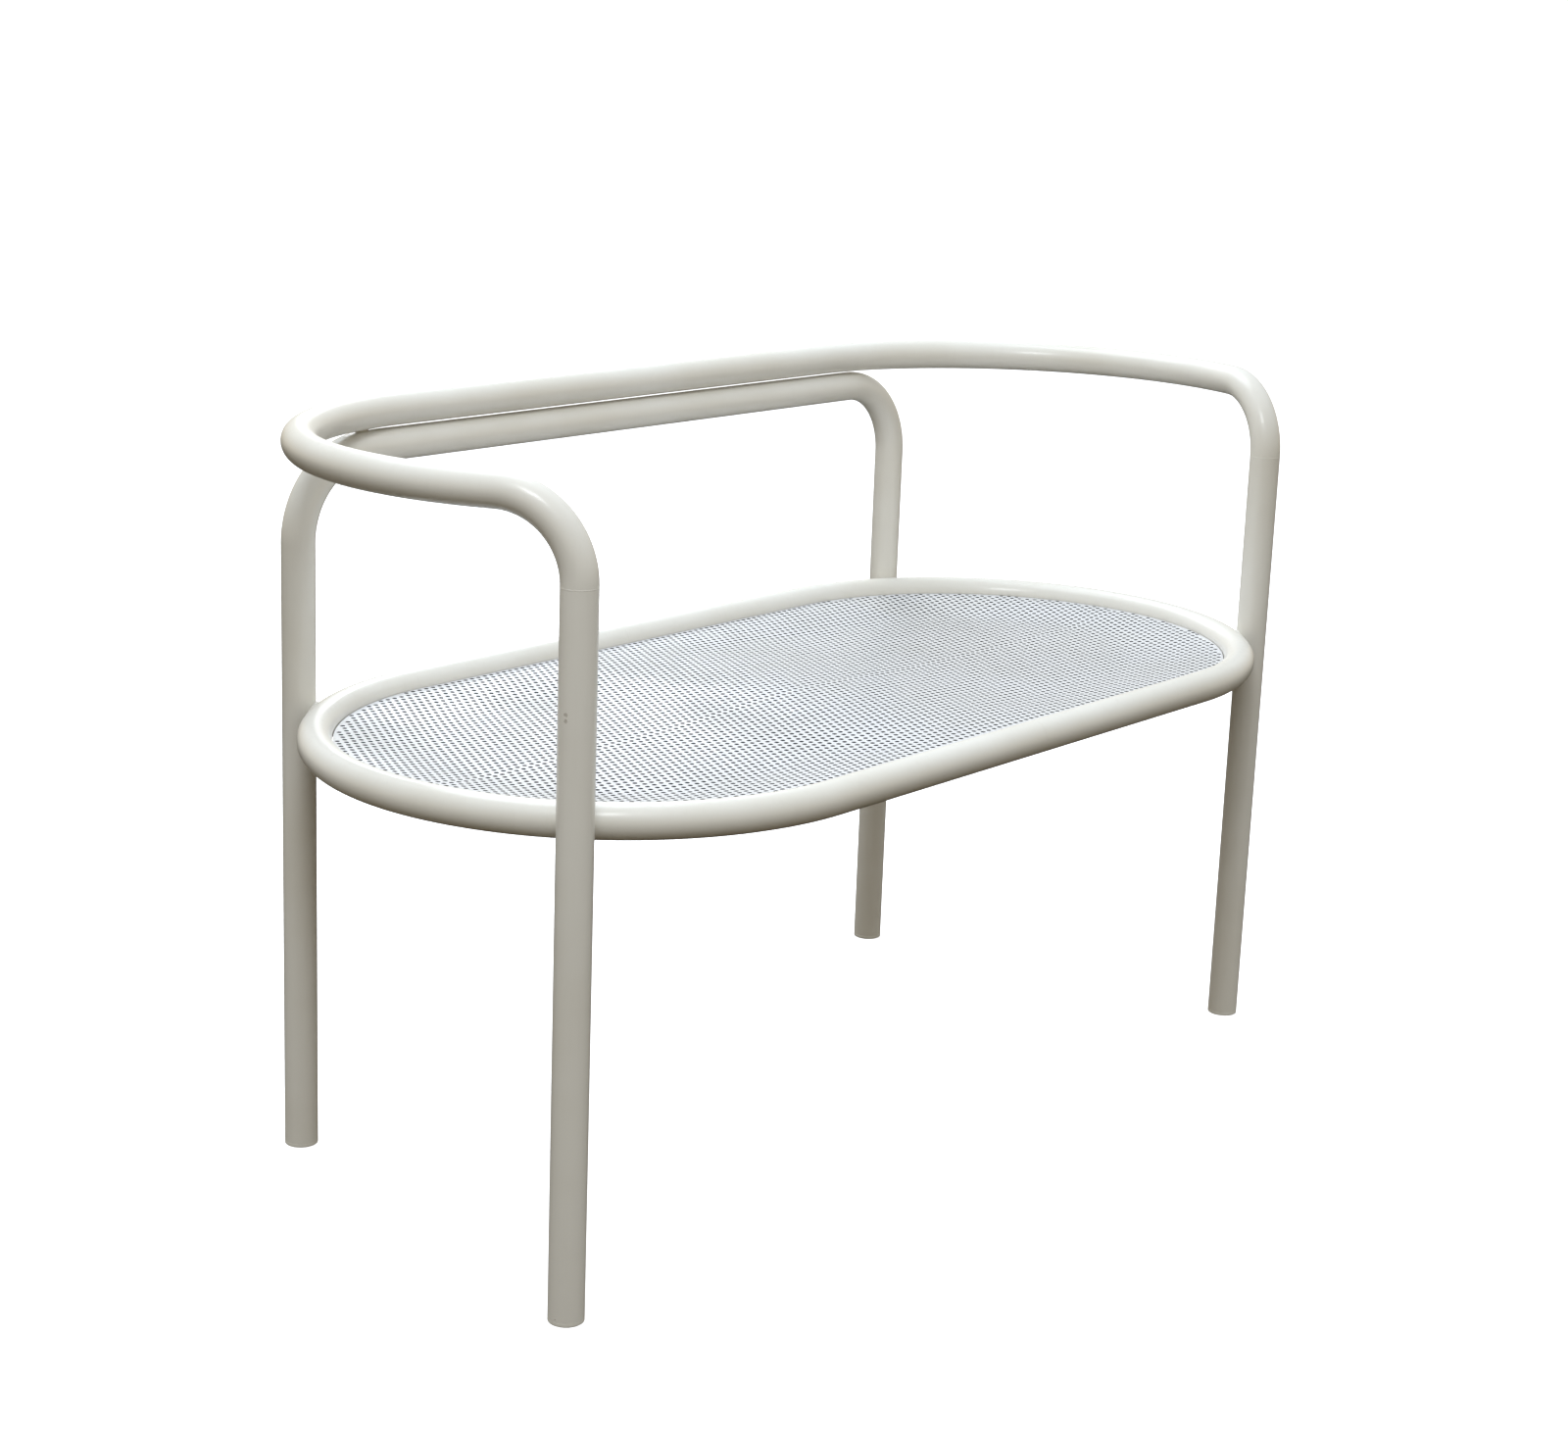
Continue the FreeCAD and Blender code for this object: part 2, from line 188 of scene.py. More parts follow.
class Tree:
    """Adds nodes to one shader or geometry tree."""

    def __init__(self, tree: bpy.types.NodeTree) -> None:
        """Wraps a node tree."""
        self.tree = tree

    def node(
        self, kind: str, settings: dict[str, Any] | None = None, sockets: dict[Any, Any] | None = None
    ) -> bpy.types.Node:
        """Adds one node.

        Args:
            kind: The node's type.
            settings: Its properties; "stops" holds a ramp's positions and colours.
            sockets: Its inputs by name or place, as values or links.

        Returns:
            The new node.
        """
        made = self.tree.nodes.new(kind)
        for name, value in (settings or {}).items():
            if name == "stops":
                self._set_stops(made.color_ramp, value)
            else:
                setattr(made, name, value)
        for name, value in (sockets or {}).items():
            for single in value if isinstance(value, list) else [value]:
                self.feed(made.inputs[name], single)
        return made

    def _set_stops(self, ramp: bpy.types.ColorRamp, stops: Sequence[tuple[float, Colour]]) -> None:
        """Gives a colour ramp its stops."""
        while len(ramp.elements) < len(stops):
            ramp.elements.new(1.0)
        for element, (place, colour) in zip(ramp.elements, stops):
            element.position = place
            element.color = (*colour, 1.0)

    def feed(self, socket: bpy.types.NodeSocket, value: Any) -> None:
        """Links an output to a socket, or sets the socket's own value."""
        if isinstance(value, Number):
            value = value.socket
        if isinstance(value, bpy.types.NodeSocket):
            self.tree.links.new(value, socket)
        elif isinstance(value, tuple) and socket.type == "RGBA":
            socket.default_value = (*value, 1.0)
        else:
            socket.default_value = value

    def number(self, node: bpy.types.Node, output: Any = 0) -> Number:
        """One of a node's outputs as a number."""
        return Number(self, node.outputs[output])


# Shaders ----------------------------------------------------------------------------------------


class Surface(Tree):
    """The node tree of one material, with the parts that the finishes share."""

    def __init__(self, name: str) -> None:
        """Makes an empty material with object coordinates.

        Args:
            name: The material's name.
        """
        self.material = bpy.data.materials.new(name)
        self.material.use_nodes = True
        super().__init__(self.material.node_tree)
        self.tree.nodes.clear()
        self.place = self.node("ShaderNodeTexCoord").outputs["Object"]
        split = self.node("ShaderNodeSeparateXYZ", sockets={"Vector": self.place})
        self.x, self.y, self.z = (self.number(split, axis) for axis in "XYZ")

    def stretched(self, scale: Sequence[float]) -> bpy.types.NodeSocket:
        """Object coordinates scaled along each axis."""
        made = self.node("ShaderNodeMapping", sockets={"Vector": self.place, "Scale": tuple(scale)})
        return made.outputs["Vector"]

    def noise(self, scale: float, detail: float = 2.0, vector: Any = None, rough: float = 0.5) -> Number:
        """Smooth noise.

        Args:
            scale: Features in a metre.
            detail: Octaves.
            vector: Coordinates, or None for the object's.
            rough: How strong the finer octaves are.

        Returns:
            Values about 0.5.
        """
        sockets = {"Vector": vector or self.place, "Scale": scale, "Detail": detail, "Roughness": rough}
        return self.number(self.node("ShaderNodeTexNoise", sockets=sockets), "Fac")

    def upward(self) -> Number:
        """1 on faces that look up, -1 on faces that look down."""
        normal = self.node("ShaderNodeNewGeometry").outputs["Normal"]
        return self.number(self.node("ShaderNodeSeparateXYZ", sockets={"Vector": normal}), "Z")

    def specks(self, cell: float, size: float, share: float) -> Number:
        """Scattered round marks of uneven size.

        Args:
            cell: Width of the cell that holds at most one mark.
            size: Radius of the largest mark.
            share: Share of the cells that hold one.

        Returns:
            1 inside a mark, falling to 0 at its ragged edge.
        """
        ragged = self.noise(2.5 / size, 2.0)
        sockets = {"Vector": self.place, "Scale": 1.0 / cell, "Randomness": 1.0}
        cells = self.node("ShaderNodeTexVoronoi", sockets=sockets)
        luck = self.node("ShaderNodeSeparateColor", sockets={"Color": cells.outputs["Color"]})
        chosen = self.number(luck, "Red").above(1.0 - share)
        reach = (self.number(luck, "Green") * 0.7 + 0.3) * (size / cell)
        distance = self.number(cells, "Distance") + (ragged - 0.5) * (size / cell)
        return chosen * (distance / reach).ramp(1.0, 0.8)

    def mark(self, place: Vector, radius: float) -> Number:
        """One named mark: 1 at its middle, 0 past its ragged radius.

        Args:
            place: Its middle in the row frame.
            radius: Its radius.

        Returns:
            The mark's strength.
        """
        gap = self.node(
            "ShaderNodeVectorMath", {"operation": "DISTANCE"}, {0: self.place, 1: tuple(place)}
        )
        ragged = (self.noise(1.2 / radius, 2.0) - 0.5) * radius
        return (self.number(gap, "Value") + ragged).ramp(radius, radius * 0.6)

    def hairlines(self, scale: float, width: float, vector: Any = None) -> Number:
        """Thin wandering lines, 1 on the line."""
        return abs(self.noise(scale, 3.0, vector) - 0.5).ramp(width, 0.0)

    def mix(self, mask: Any, low: Any, high: Any) -> bpy.types.NodeSocket:
        """A colour that goes from low to high as the mask goes from 0 to 1."""
        sockets = {"Factor": mask, 6: low, 7: high}
        return self.node("ShaderNodeMix", {"data_type": "RGBA"}, sockets).outputs[2]

    def bump(self, height: Number, distance: float, strength: float, below: Any = None) -> Any:
        """A Bump node.

        Args:
            height: The height, about 0 to 1.
            distance: The depth that 1 stands for, in metres.
            strength: The node's strength.
            below: A bump that this one lies on, or None.

        Returns:
            The bumped normal.
        """
        sockets = {"Height": height, "Distance": distance, "Strength": strength}
        if below is not None:
            sockets["Normal"] = below
        return self.node("ShaderNodeBump", sockets=sockets).outputs["Normal"]

    def finish(self, **sockets: Any) -> bpy.types.Material:
        """Adds the Principled shader and the output.

        Args:
            sockets: The shader's inputs, with _ for a space in their names.

        Returns:
            The finished material.
        """
        named = {name.replace("_", " "): value for name, value in sockets.items()}
        shader = self.node("ShaderNodeBsdfPrincipled", sockets=named)
        self.node("ShaderNodeOutputMaterial", sockets={"Surface": shader.outputs[0]})
        return self.material


@dataclass(frozen=True)
class Enamel:
    """Brushed and baked enamel on steel, with the marks of years of use."""

    name: str
    clean: Colour = (0.755, 0.735, 0.675)
    aged: Colour = (0.66, 0.625, 0.54)
    dust: Colour = (0.60, 0.57, 0.51)
    primer: Colour = (0.30, 0.27, 0.23)
    rust: Colour = (0.16, 0.085, 0.045)
    roughness: float = 0.36
    coat: float = 0.35
    peel_depth: float = 0.05 * MM
    wave_depth: float = 0.22 * MM
    chip_share: float = 0.055
    worn_height: float = 0.20

    def material(self, marks: Sequence[tuple[Vector, float]] = ()) -> bpy.types.Material:
        """Builds the material.

        Args:
            marks: Middle and radius of each chip that has a place of its own.

        Returns:
            The enamel's material.
        """
        s = Surface(self.name)
        mottle = s.noise(5.0, 3.0).ramp(0.38, 0.68)
        cloud = s.noise(38.0, 4.0, rough=0.6)
        low_down = s.z.ramp(self.worn_height, 0.0)
        facing_up = s.upward()
        streaks = s.noise(1.0, 3.0, s.stretched((160.0, 160.0, 9.0))).ramp(0.50, 0.74)
        grime = low_down * (cloud * 0.9 + 0.2) + streaks * 0.22
        settled = facing_up.ramp(0.35, 0.95) * s.noise(120.0, 4.0, rough=0.65).ramp(0.50, 0.78)
        fine_chips = s.specks(0.042, 0.9 * MM, self.chip_share)
        foot_chips = s.specks(0.012, 0.8 * MM, 0.24) * s.z.ramp(0.05, 0.006)
        chips = fine_chips.at_least(foot_chips)
        for place, radius in marks:
            chips = chips.at_least(s.mark(place, radius) * 0.45)
        scratches = s.hairlines(30.0, 0.0035) * s.noise(9.0, 2.0).ramp(0.55, 0.66)
        hair = s.hairlines(1.0, 0.003, s.stretched((70.0, 95.0, 60.0))) * s.noise(14.0).ramp(0.58, 0.68)
        worn = scratches.at_least(hair)

        colour = s.mix(mottle * 0.5, self.clean, self.aged)
        colour = s.mix(grime * 0.34, colour, self.dust)
        colour = s.mix(settled * 0.22, colour, self.dust)
        colour = s.mix(worn * 0.20, colour, self.aged)
        bare = s.mix(s.noise(900.0).ramp(0.4, 0.6), self.primer, self.rust)
        colour = s.mix(chips, colour, bare)

        rough = self.roughness + (cloud - 0.5) * 0.16 + settled * 0.14 + grime * 0.16
        rough = rough + chips * 0.3 + worn * 0.12
        peel = s.noise(620.0, 2.0)
        wave = s.noise(46.0, 1.0)
        relief = s.bump(wave, self.wave_depth, 0.55)
        relief = s.bump(peel, self.peel_depth, 0.6, relief)
        relief = s.bump(1 - chips.at_least(worn * 0.25), 0.12 * MM, 0.8, relief)
        return s.finish(
            Base_Color=colour,
            Roughness=rough,
            Normal=relief,
            Coat_Weight=self.coat * (1 - chips) * (1 - grime * 0.6),
            Coat_Roughness=0.13,
            Specular_IOR_Level=0.5,
        )


@dataclass(frozen=True)
class PanelEnamel:
    """Thin cool-white enamel on the perforated sheet, polished where sitters slide and dusty elsewhere, with
    painted shade on the walls of the holes.
    """

    name: str
    pitch: float
    row_step: float
    hole_radius: float
    seat_middle: float
    clean: Colour = (0.68, 0.685, 0.70)
    aged: Colour = (0.61, 0.61, 0.595)
    dust: Colour = (0.56, 0.53, 0.47)
    steel: Colour = (0.33, 0.30, 0.27)
    # Near-black colour of the hole walls: painted shade that stands in for the dark inside of the holes.
    wall: Colour = (0.022, 0.024, 0.027)
    roughness: float = 0.40

    def hole_distance(self, s: Surface) -> Number:
        """Distance from the middle of the nearest hole, on the staggered pattern."""
        row = (s.y / self.row_step - 0.5).nearest()
        across = abs(s.y - (row + 0.5) * self.row_step)
        shift = row.modulo(2.0) * 0.5
        along = abs((s.x / self.pitch - shift + 0.5).modulo(1.0) - 0.5) * self.pitch
        return (across * across + along * along).root()

    def material(self) -> bpy.types.Material:
        """Builds the material."""
        s = Surface(self.name)
        cloud = s.noise(9.0, 4.0, rough=0.6)
        fine = s.noise(300.0, 3.0)
        rim = self.hole_distance(s).ramp(self.hole_radius + 0.75 * MM, self.hole_radius)
        off_seat = (abs(s.x) - self.seat_middle) / 0.21
        rubbed = (off_seat * off_seat + (s.y / 0.17) * (s.y / 0.17)).ramp(1.0, 0.15)
        settled = cloud.ramp(0.44, 0.66) * (1 - rubbed * 0.8)
        chipped = rim * s.noise(70.0, 4.0, rough=0.7).ramp(0.70, 0.76)
        specks = s.specks(0.021, 0.6 * MM, 0.16)
        bare = chipped.at_least(specks)
        # Painted shade: upright faces, which are the hole walls, are turned near-black.
        hole_shade_mask = abs(s.upward()).ramp(0.7, 0.3)

        colour = s.mix(cloud.ramp(0.35, 0.7) * 0.5, self.clean, self.aged)
        colour = s.mix(settled * 0.16 + fine.ramp(0.58, 0.75) * 0.06, colour, self.dust)
        colour = s.mix(rim * 0.16, colour, self.dust)
        colour = s.mix(bare * 0.85, colour, self.steel)
        colour = s.mix(hole_shade_mask * 0.94, colour, self.wall)
        rough = self.roughness + settled * 0.14 - rubbed * 0.10 + (fine - 0.5) * 0.10 + bare * 0.2
        relief = s.bump(s.noise(24.0, 2.0), 0.35 * MM, 0.5)
        relief = s.bump(fine, 0.04 * MM, 0.5, relief)
        relief = s.bump(1 - rim, 0.22 * MM, 0.9, relief)
        return s.finish(
            Base_Color=colour,
            Roughness=rough,
            Normal=relief,
            Coat_Weight=0.25 * (1 - bare) * (1 - settled * 0.5),
            Coat_Roughness=0.22,
        )


@dataclass(frozen=True)
class Plastic:
    """Pale moulded polythene of the foot plugs, scuffed where it meets the ground."""

    name: str
    clean: Colour = (0.74, 0.72, 0.65)
    scuffed: Colour = (0.34, 0.31, 0.26)
    scuff_height: float = 2.2 * MM

    def material(self) -> bpy.types.Material:
        """Builds the material."""
        s = Surface(self.name)
        scuff = s.z.ramp(self.scuff_height, 0.0) * s.noise(420.0, 4.0, rough=0.7).ramp(0.38, 0.66)
        cloud = s.noise(160.0, 3.0)
        colour = s.mix(scuff * 0.75 + cloud.ramp(0.55, 0.8) * 0.15, self.clean, self.scuffed)
        relief = s.bump(s.noise(1500.0, 2.0), 0.03 * MM, 0.6)
        relief = s.bump(1 - scuff, 0.12 * MM, 0.7, relief)
        return s.finish(Base_Color=colour, Roughness=0.5 + scuff * 0.3 + (cloud - 0.5) * 0.1, Normal=relief)


@dataclass(frozen=True)
class DrawnSteel:
    """Bare drawn steel of the sleeves inside the ring's joints."""

    name: str
    bright: Colour = (0.56, 0.56, 0.57)
    stained: Colour = (0.30, 0.25, 0.21)

    def material(self) -> bpy.types.Material:
        """Builds the material."""
        s = Surface(self.name)
        draw_lines = s.noise(1.0, 4.0, s.stretched((25.0, 1800.0, 1800.0)))
        stain = s.noise(60.0, 4.0, rough=0.65).ramp(0.5, 0.75)
        colour = s.mix(stain, self.bright, self.stained)
        relief = s.bump(draw_lines, 0.03 * MM, 0.6)
        rough = 0.3 + draw_lines * 0.18 + stain * 0.3
        return s.finish(Base_Color=colour, Metallic=1 - stain * 0.6, Roughness=rough, Normal=relief)


# Meshes -----------------------------------------------------------------------------------------


class Run:
    """A centreline made of straight runs and arcs."""

    def __init__(self, start: Vector, arc_step: float = math.radians(2.0)) -> None:
        """Starts a line.

        Args:
            start: Its first point.
            arc_step: Largest turn between two points of an arc.
        """
        self.points = [start.copy()]
        self.arc_step = arc_step

    def line(self, end: Vector, steps: int = 1) -> "Run":
        """Goes straight to a point, in that many equal steps."""
        start = self.points[-1].copy()
        self.points += [start.lerp(end, step / steps) for step in range(1, steps + 1)]
        return self

    def arc(self, centre: Vector, axis: Vector, angle: float) -> "Run":
        """Turns about an axis.

        Args:
            centre: A point on the axis.
            axis: The axis, right-handed.
            angle: How far to turn, in radians.

        Returns:
            This line.
        """
        steps = max(2, math.ceil(abs(angle) / self.arc_step))
        arm = self.points[-1] - centre
        for step in range(1, steps + 1):
            self.points.append(centre + Matrix.Rotation(angle * step / steps, 3, axis) @ arm)
        return self


def guide(name: str, points: Sequence[Vector], closed: bool = False) -> bpy.types.Object:
    """A mesh of edges along some points, for a geometry tree to follow.

    Args:
        name: The object's name.
        points: The points in order.
        closed: Whether the last point joins the first.

    Returns:
        The object, linked to the scene.
    """
    edges = [(index, index + 1) for index in range(len(points) - 1)]
    if closed:
        edges.append((len(points) - 1, 0))
    return mesh_object(name, [tuple(point) for point in points], edges=edges)


def mesh_object(
    name: str, points: Sequence[Any], edges: Sequence[Any] = (), faces: Sequence[Any] = ()
) -> bpy.types.Object:
    """An object with a mesh of these points, edges and faces, linked to the scene."""
    mesh = bpy.data.meshes.new(name)
    mesh.from_pydata(points, edges, faces)
    made = bpy.data.objects.new(name, mesh)
    bpy.context.scene.collection.objects.link(made)
    return made


def bake_down(made: bpy.types.Object) -> bpy.types.Object:
    """Turns an object's modifiers into a plain mesh.

    Args:
        made: The object with its modifiers set.

    Returns:
        The same object, without modifiers.
    """
    bpy.context.view_layer.update()
    graph = bpy.context.evaluated_depsgraph_get()
    old = made.data
    made.data = bpy.data.meshes.new_from_object(made.evaluated_get(graph), depsgraph=graph)
    made.data.name = made.name
    made.modifiers.clear()
    bpy.data.meshes.remove(old)
    return made


def smooth(made: bpy.types.Object, limit: float = math.radians(38.0)) -> bpy.types.Object:
    """Shades an object smooth and keeps the edges that turn more than the limit sharp."""
    shape = bmesh.new()
    shape.from_mesh(made.data)
    for face in shape.faces:
        face.smooth = True
    for edge in shape.edges:
        edge.smooth = edge.is_manifold and edge.calc_face_angle(0.0) < limit
    shape.to_mesh(made.data)
    shape.free()
    return made


def dress(
    made: bpy.types.Object, finish: bpy.types.Material, nodes: Iterable[str]
) -> bpy.types.Object:
    """Gives a finished piece its material and its body, and hides the imported nodes that it stands for."""
    made.data.materials.clear()
    made.data.materials.append(finish)
    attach(made, ROOT_BODY)
    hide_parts(*nodes)
    LOG.info("%s: %d faces", made.name, len(made.data.polygons))
    return made


class GeometryTree(Tree):
    """A geometry tree with named inputs, which ends in Realize Instances and Set Material."""

    def __init__(self, name: str, inputs: dict[str, Any]) -> None:
        """Makes the tree's inputs.

        Args:
            name: The tree's name.
            inputs: Each named input with its default; a whole number makes an integer input.
        """
        group = bpy.data.node_groups.new(name, "GeometryNodeTree")
        super().__init__(group)
        self.identifiers: dict[str, str] = {}
        group.interface.new_socket("Geometry", in_out="INPUT", socket_type="NodeSocketGeometry")
        for label, default in inputs.items():
            kind = "NodeSocketInt" if isinstance(default, int) else "NodeSocketFloat"
            socket = group.interface.new_socket(label, in_out="INPUT", socket_type=kind)
            socket.default_value = default
            self.identifiers[label] = socket.identifier
        material = group.interface.new_socket("Finish", in_out="INPUT", socket_type="NodeSocketMaterial")
        self.identifiers["Finish"] = material.identifier
        group.interface.new_socket("Geometry", in_out="OUTPUT", socket_type="NodeSocketGeometry")
        self.entry = self.node("NodeGroupInput")

    def input(self, label: str) -> Number:
        """A named input as a number."""
        return Number(self, self.entry.outputs[label])

    def close(self, geometry: Any) -> None:
        """Ends the tree."""
        real = self.node("GeometryNodeRealizeInstances", sockets={"Geometry": geometry})
        dressed = self.node(
            "GeometryNodeSetMaterial",
            sockets={"Geometry": real.outputs[0], "Material": self.entry.outputs["Finish"]},
        )
        self.node("NodeGroupOutput", sockets={"Geometry": dressed.outputs[0]})

    def apply(
        self, made: bpy.types.Object, finish: bpy.types.Material, **values: Any
    ) -> bpy.types.Modifier:
        """Puts the tree on an object.

        Args:
            made: The object.
            finish: The material for its faces.
            values: Named inputs, with _ for a space.

        Returns:
            The modifier.
        """
        modifier = made.modifiers.new(self.tree.name, "NODES")
        modifier.node_group = self.tree
        modifier[self.identifiers["Finish"]] = finish
        for label, value in values.items():
            modifier[self.identifiers[label.replace("_", " ")]] = value
        return modifier


class TubeTree(GeometryTree):
    """Sweeps a round section along a line of edges."""

    def __init__(self) -> None:
        """Builds the tree."""
        super().__init__("round_tube", {"Radius": 0.01, "Sides": 32})
        line = self.node("GeometryNodeMeshToCurve", sockets={"Mesh": self.entry.outputs["Geometry"]})
        section = self.node(
            "GeometryNodeCurvePrimitiveCircle",
            sockets={"Resolution": self.input("Sides"), "Radius": self.input("Radius")},
        )
        swept = self.node(
            "GeometryNodeCurveToMesh",
            sockets={"Curve": line.outputs[0], "Profile Curve": section.outputs[0]},
        )
        self.close(swept.outputs[0])


class BeadTree(GeometryTree):
    """Lays a rippled weld bead along a line of edges."""

    def __init__(self) -> None:
        """Builds the tree."""
        super().__init__(
            "weld_bead", {"Radius": 0.002, "Ripple Pitch": 0.002, "Ripple Depth": 0.15, "Sides": 12}
        )
        line = self.node("GeometryNodeMeshToCurve", sockets={"Mesh": self.entry.outputs["Geometry"]})
        fine = self.node(
            "GeometryNodeResampleCurve",
            {"mode": "LENGTH"},
            {"Curve": line.outputs[0], "Length": self.input("Ripple Pitch") / 8.0},
        )
        along = self.number(self.node("GeometryNodeSplineParameter"), "Length")
        turn = (along / self.input("Ripple Pitch")).modulo(1.0)
        scallop = (turn * (1 - turn) * 4.0).root()
        uneven = self.number(
            self.node("ShaderNodeTexNoise", {"noise_dimensions": "1D"}, {"W": along * 150.0, "Scale": 1.0}), 0
        )
        swell = 1 - self.input("Ripple Depth") * (1 - scallop) + (uneven - 0.5) * 0.25
        section = self.node(
            "GeometryNodeCurvePrimitiveCircle", sockets={"Resolution": self.input("Sides"), "Radius": 1.0}
        )
        swept = self.node(
            "GeometryNodeCurveToMesh",
            sockets={"Curve": fine.outputs[0], "Profile Curve": section.outputs[0]},
        )
        scale_socket = swept.inputs.get("Scale")
        if scale_socket is not None:
            self.feed(scale_socket, swell * self.input("Radius"))
        swept.inputs["Fill Caps"].default_value = True
        self.close(swept.outputs[0])


class PerforatedTree(GeometryTree):
    """Fills closed strips, one to a row of holes, with sheet punched in a staggered pattern."""

    def __init__(self) -> None:
        """Builds the tree: punch each strip, give the sheet its thickness, then let it sag."""
        super().__init__(
            "perforated_sheet",
            {
                "Pitch": 0.009,
                "Row Step": 0.008,
                "Hole Radius": 0.0025,
                "Hole Sides": 10,
                "Columns": 140,
                "Rows": 34,
                "First Row": 0.004,
                "Straight Half": 0.3,
                "End Radius": 0.26,
                "Border": 0.001,
                "Height": 0.0,
                "Thickness": 0.0015,
                "Sag": 0.006,
                "Rise": 0.002,
                "Ridge Middle": 0.0,
                "Ridge Slant": 0.0,
                "Ridge Width": 0.15,
                "Edge Fade": 0.1,
            },
        )
        flat = self.punched()
        skin = self.node(
            "GeometryNodeExtrudeMesh",
            {"mode": "FACES"},
            {"Mesh": flat, "Offset Scale": self.input("Thickness"), "Individual": False},
        )
        under = self.node("GeometryNodeFlipFaces", sockets={"Mesh": flat})
        both = self.node("GeometryNodeJoinGeometry", sockets={0: [skin.outputs[0], under.outputs[0]]})
        closed = self.node(
            "GeometryNodeMergeByDistance", sockets={"Geometry": both.outputs[0], "Distance": 1e-6}
        )
        self.close(self.sagged(closed.outputs[0]))

    def punched(self) -> bpy.types.NodeSocket:
        """The flat sheet with its holes."""
        grid = self.node(
            "GeometryNodeMeshGrid",
            sockets={
                "Size X": (self.input("Columns") - 1) * self.input("Pitch"),
                "Size Y": (self.input("Rows") - 1) * self.input("Row Step"),
                "Vertices X": self.input("Columns"),
                "Vertices Y": self.input("Rows"),
            },
        )
        x, y, _ = self.position()
        middle_row = (self.input("Rows") - 1) * self.input("Row Step") * 0.5
        row = ((y + middle_row) / self.input("Row Step")).nearest()
        shifted = self.node(
            "ShaderNodeCombineXYZ",
            sockets={
                "X": (row.modulo(2.0) * 0.5 - 0.25) * self.input("Pitch"),
                "Y": middle_row + self.input("First Row"),
            },
        )
        placed = self.node(
            "GeometryNodeSetPosition", sockets={"Geometry": grid.outputs[0], "Offset": shifted.outputs[0]}
        )
        inside = self.edge_distance()
        outside = 1 - inside.above(self.input("Hole Radius") + self.input("Border"))
        kept = self.node(
            "GeometryNodeDeleteGeometry",
            {"domain": "POINT"},
            {"Geometry": placed.outputs[0], "Selection": outside},
        )
        hole = self.node(
            "GeometryNodeCurvePrimitiveCircle",
            sockets={"Resolution": self.input("Hole Sides"), "Radius": self.input("Hole Radius")},
        )
        holes = self.node(
            "GeometryNodeInstanceOnPoints", sockets={"Points": kept.outputs[0], "Instance": hole.outputs[0]}
        )
        real = self.node("GeometryNodeRealizeInstances", sockets={"Geometry": holes.outputs[0]})
        outline = self.node("GeometryNodeMeshToCurve", sockets={"Mesh": self.entry.outputs["Geometry"]})
        lines = self.node("GeometryNodeJoinGeometry", sockets={0: [outline.outputs[0], real.outputs[0]]})
        _, middle_y, _ = self.position()
        strip = self._whole(middle_y / self.input("Row Step"))
        filled = self.node("GeometryNodeFillCurve", sockets={"Curve": lines.outputs[0], "Group ID": strip})
        welded = self.node(
            "GeometryNodeMergeByDistance", sockets={"Geometry": filled.outputs[0], "Distance": 1e-5}
        )
        return welded.outputs[0]

    def _whole(self, value: Number) -> bpy.types.NodeSocket:
        """The whole number below a value, as an integer."""
        made = self.node("FunctionNodeFloatToInt", {"rounding_mode": "FLOOR"}, {0: value})
        return made.outputs[0]

    def position(self) -> tuple[Number, Number, Number]:
        """The place of the point that is being worked on."""
        place = self.node("GeometryNodeInputPosition").outputs[0]
        split = self.node("ShaderNodeSeparateXYZ", sockets={"Vector": place})
        return self.number(split, "X"), self.number(split, "Y"), self.number(split, "Z")

    def edge_distance(self) -> Number:
        """How far inside the sheet's round-ended outline a point lies."""
        x, y, _ = self.position()
        past_straight = (abs(x) - self.input("Straight Half")).at_least(0.0)
        return self.input("End Radius") - (past_straight * past_straight + y * y).root()

    def sagged(self, sheet: bpy.types.NodeSocket) -> bpy.types.NodeSocket:
        """The sheet with a dip at each place and a ridge between them, level again at its edge."""
        x, y, _ = self.position()
        crest = self.input("Ridge Middle") + y * self.input("Ridge Slant")
        across = (x - crest) / self.input("Ridge Width")
        ridge = (0 - across * across).exp()
        depth = ridge * (self.input("Rise") + self.input("Sag")) - self.input("Sag")
        share = (self.edge_distance() / self.input("Edge Fade")).ramp(0.0, 1.0)
        lift = self.node("ShaderNodeCombineXYZ", sockets={"Z": depth * share + self.input("Height")})
        moved = self.node("GeometryNodeSetPosition", sockets={"Geometry": sheet, "Offset": lift.outputs[0]})
        return moved.outputs[0]


class BlobTree(GeometryTree):
    """Sets a small uneven blob of weld on each point of a mesh."""

    def __init__(self) -> None:
        """Builds the tree."""
        super().__init__("tack_blobs", {"Radius": 0.003, "Seed": 7})
        ball = self.node(
            "GeometryNodeMeshUVSphere",
            sockets={"Segments": 14, "Rings": 8, "Radius": self.input("Radius")},
        )
        turn = self.node(
            "FunctionNodeRandomValue",
            {"data_type": "FLOAT_VECTOR"},
            {0: (-0.25, -0.25, -3.1), 1: (0.25, 0.25, 3.1), "Seed": self.input("Seed")},
        )
        size = self.node(
            "FunctionNodeRandomValue",
            {"data_type": "FLOAT_VECTOR"},
            {0: (1.0, 0.85, 0.62), 1: (1.35, 1.05, 0.78), "Seed": self.input("Seed") + 1},
        )
        placed = self.node(
            "GeometryNodeInstanceOnPoints",
            sockets={
                "Points": self.entry.outputs["Geometry"],
                "Instance": ball.outputs["Mesh"],
                "Rotation": turn.outputs["Value"],
                "Scale": size.outputs["Value"],
            },
        )
        self.close(placed.outputs[0])


# The bench --------------------------------------------------------------------------------------


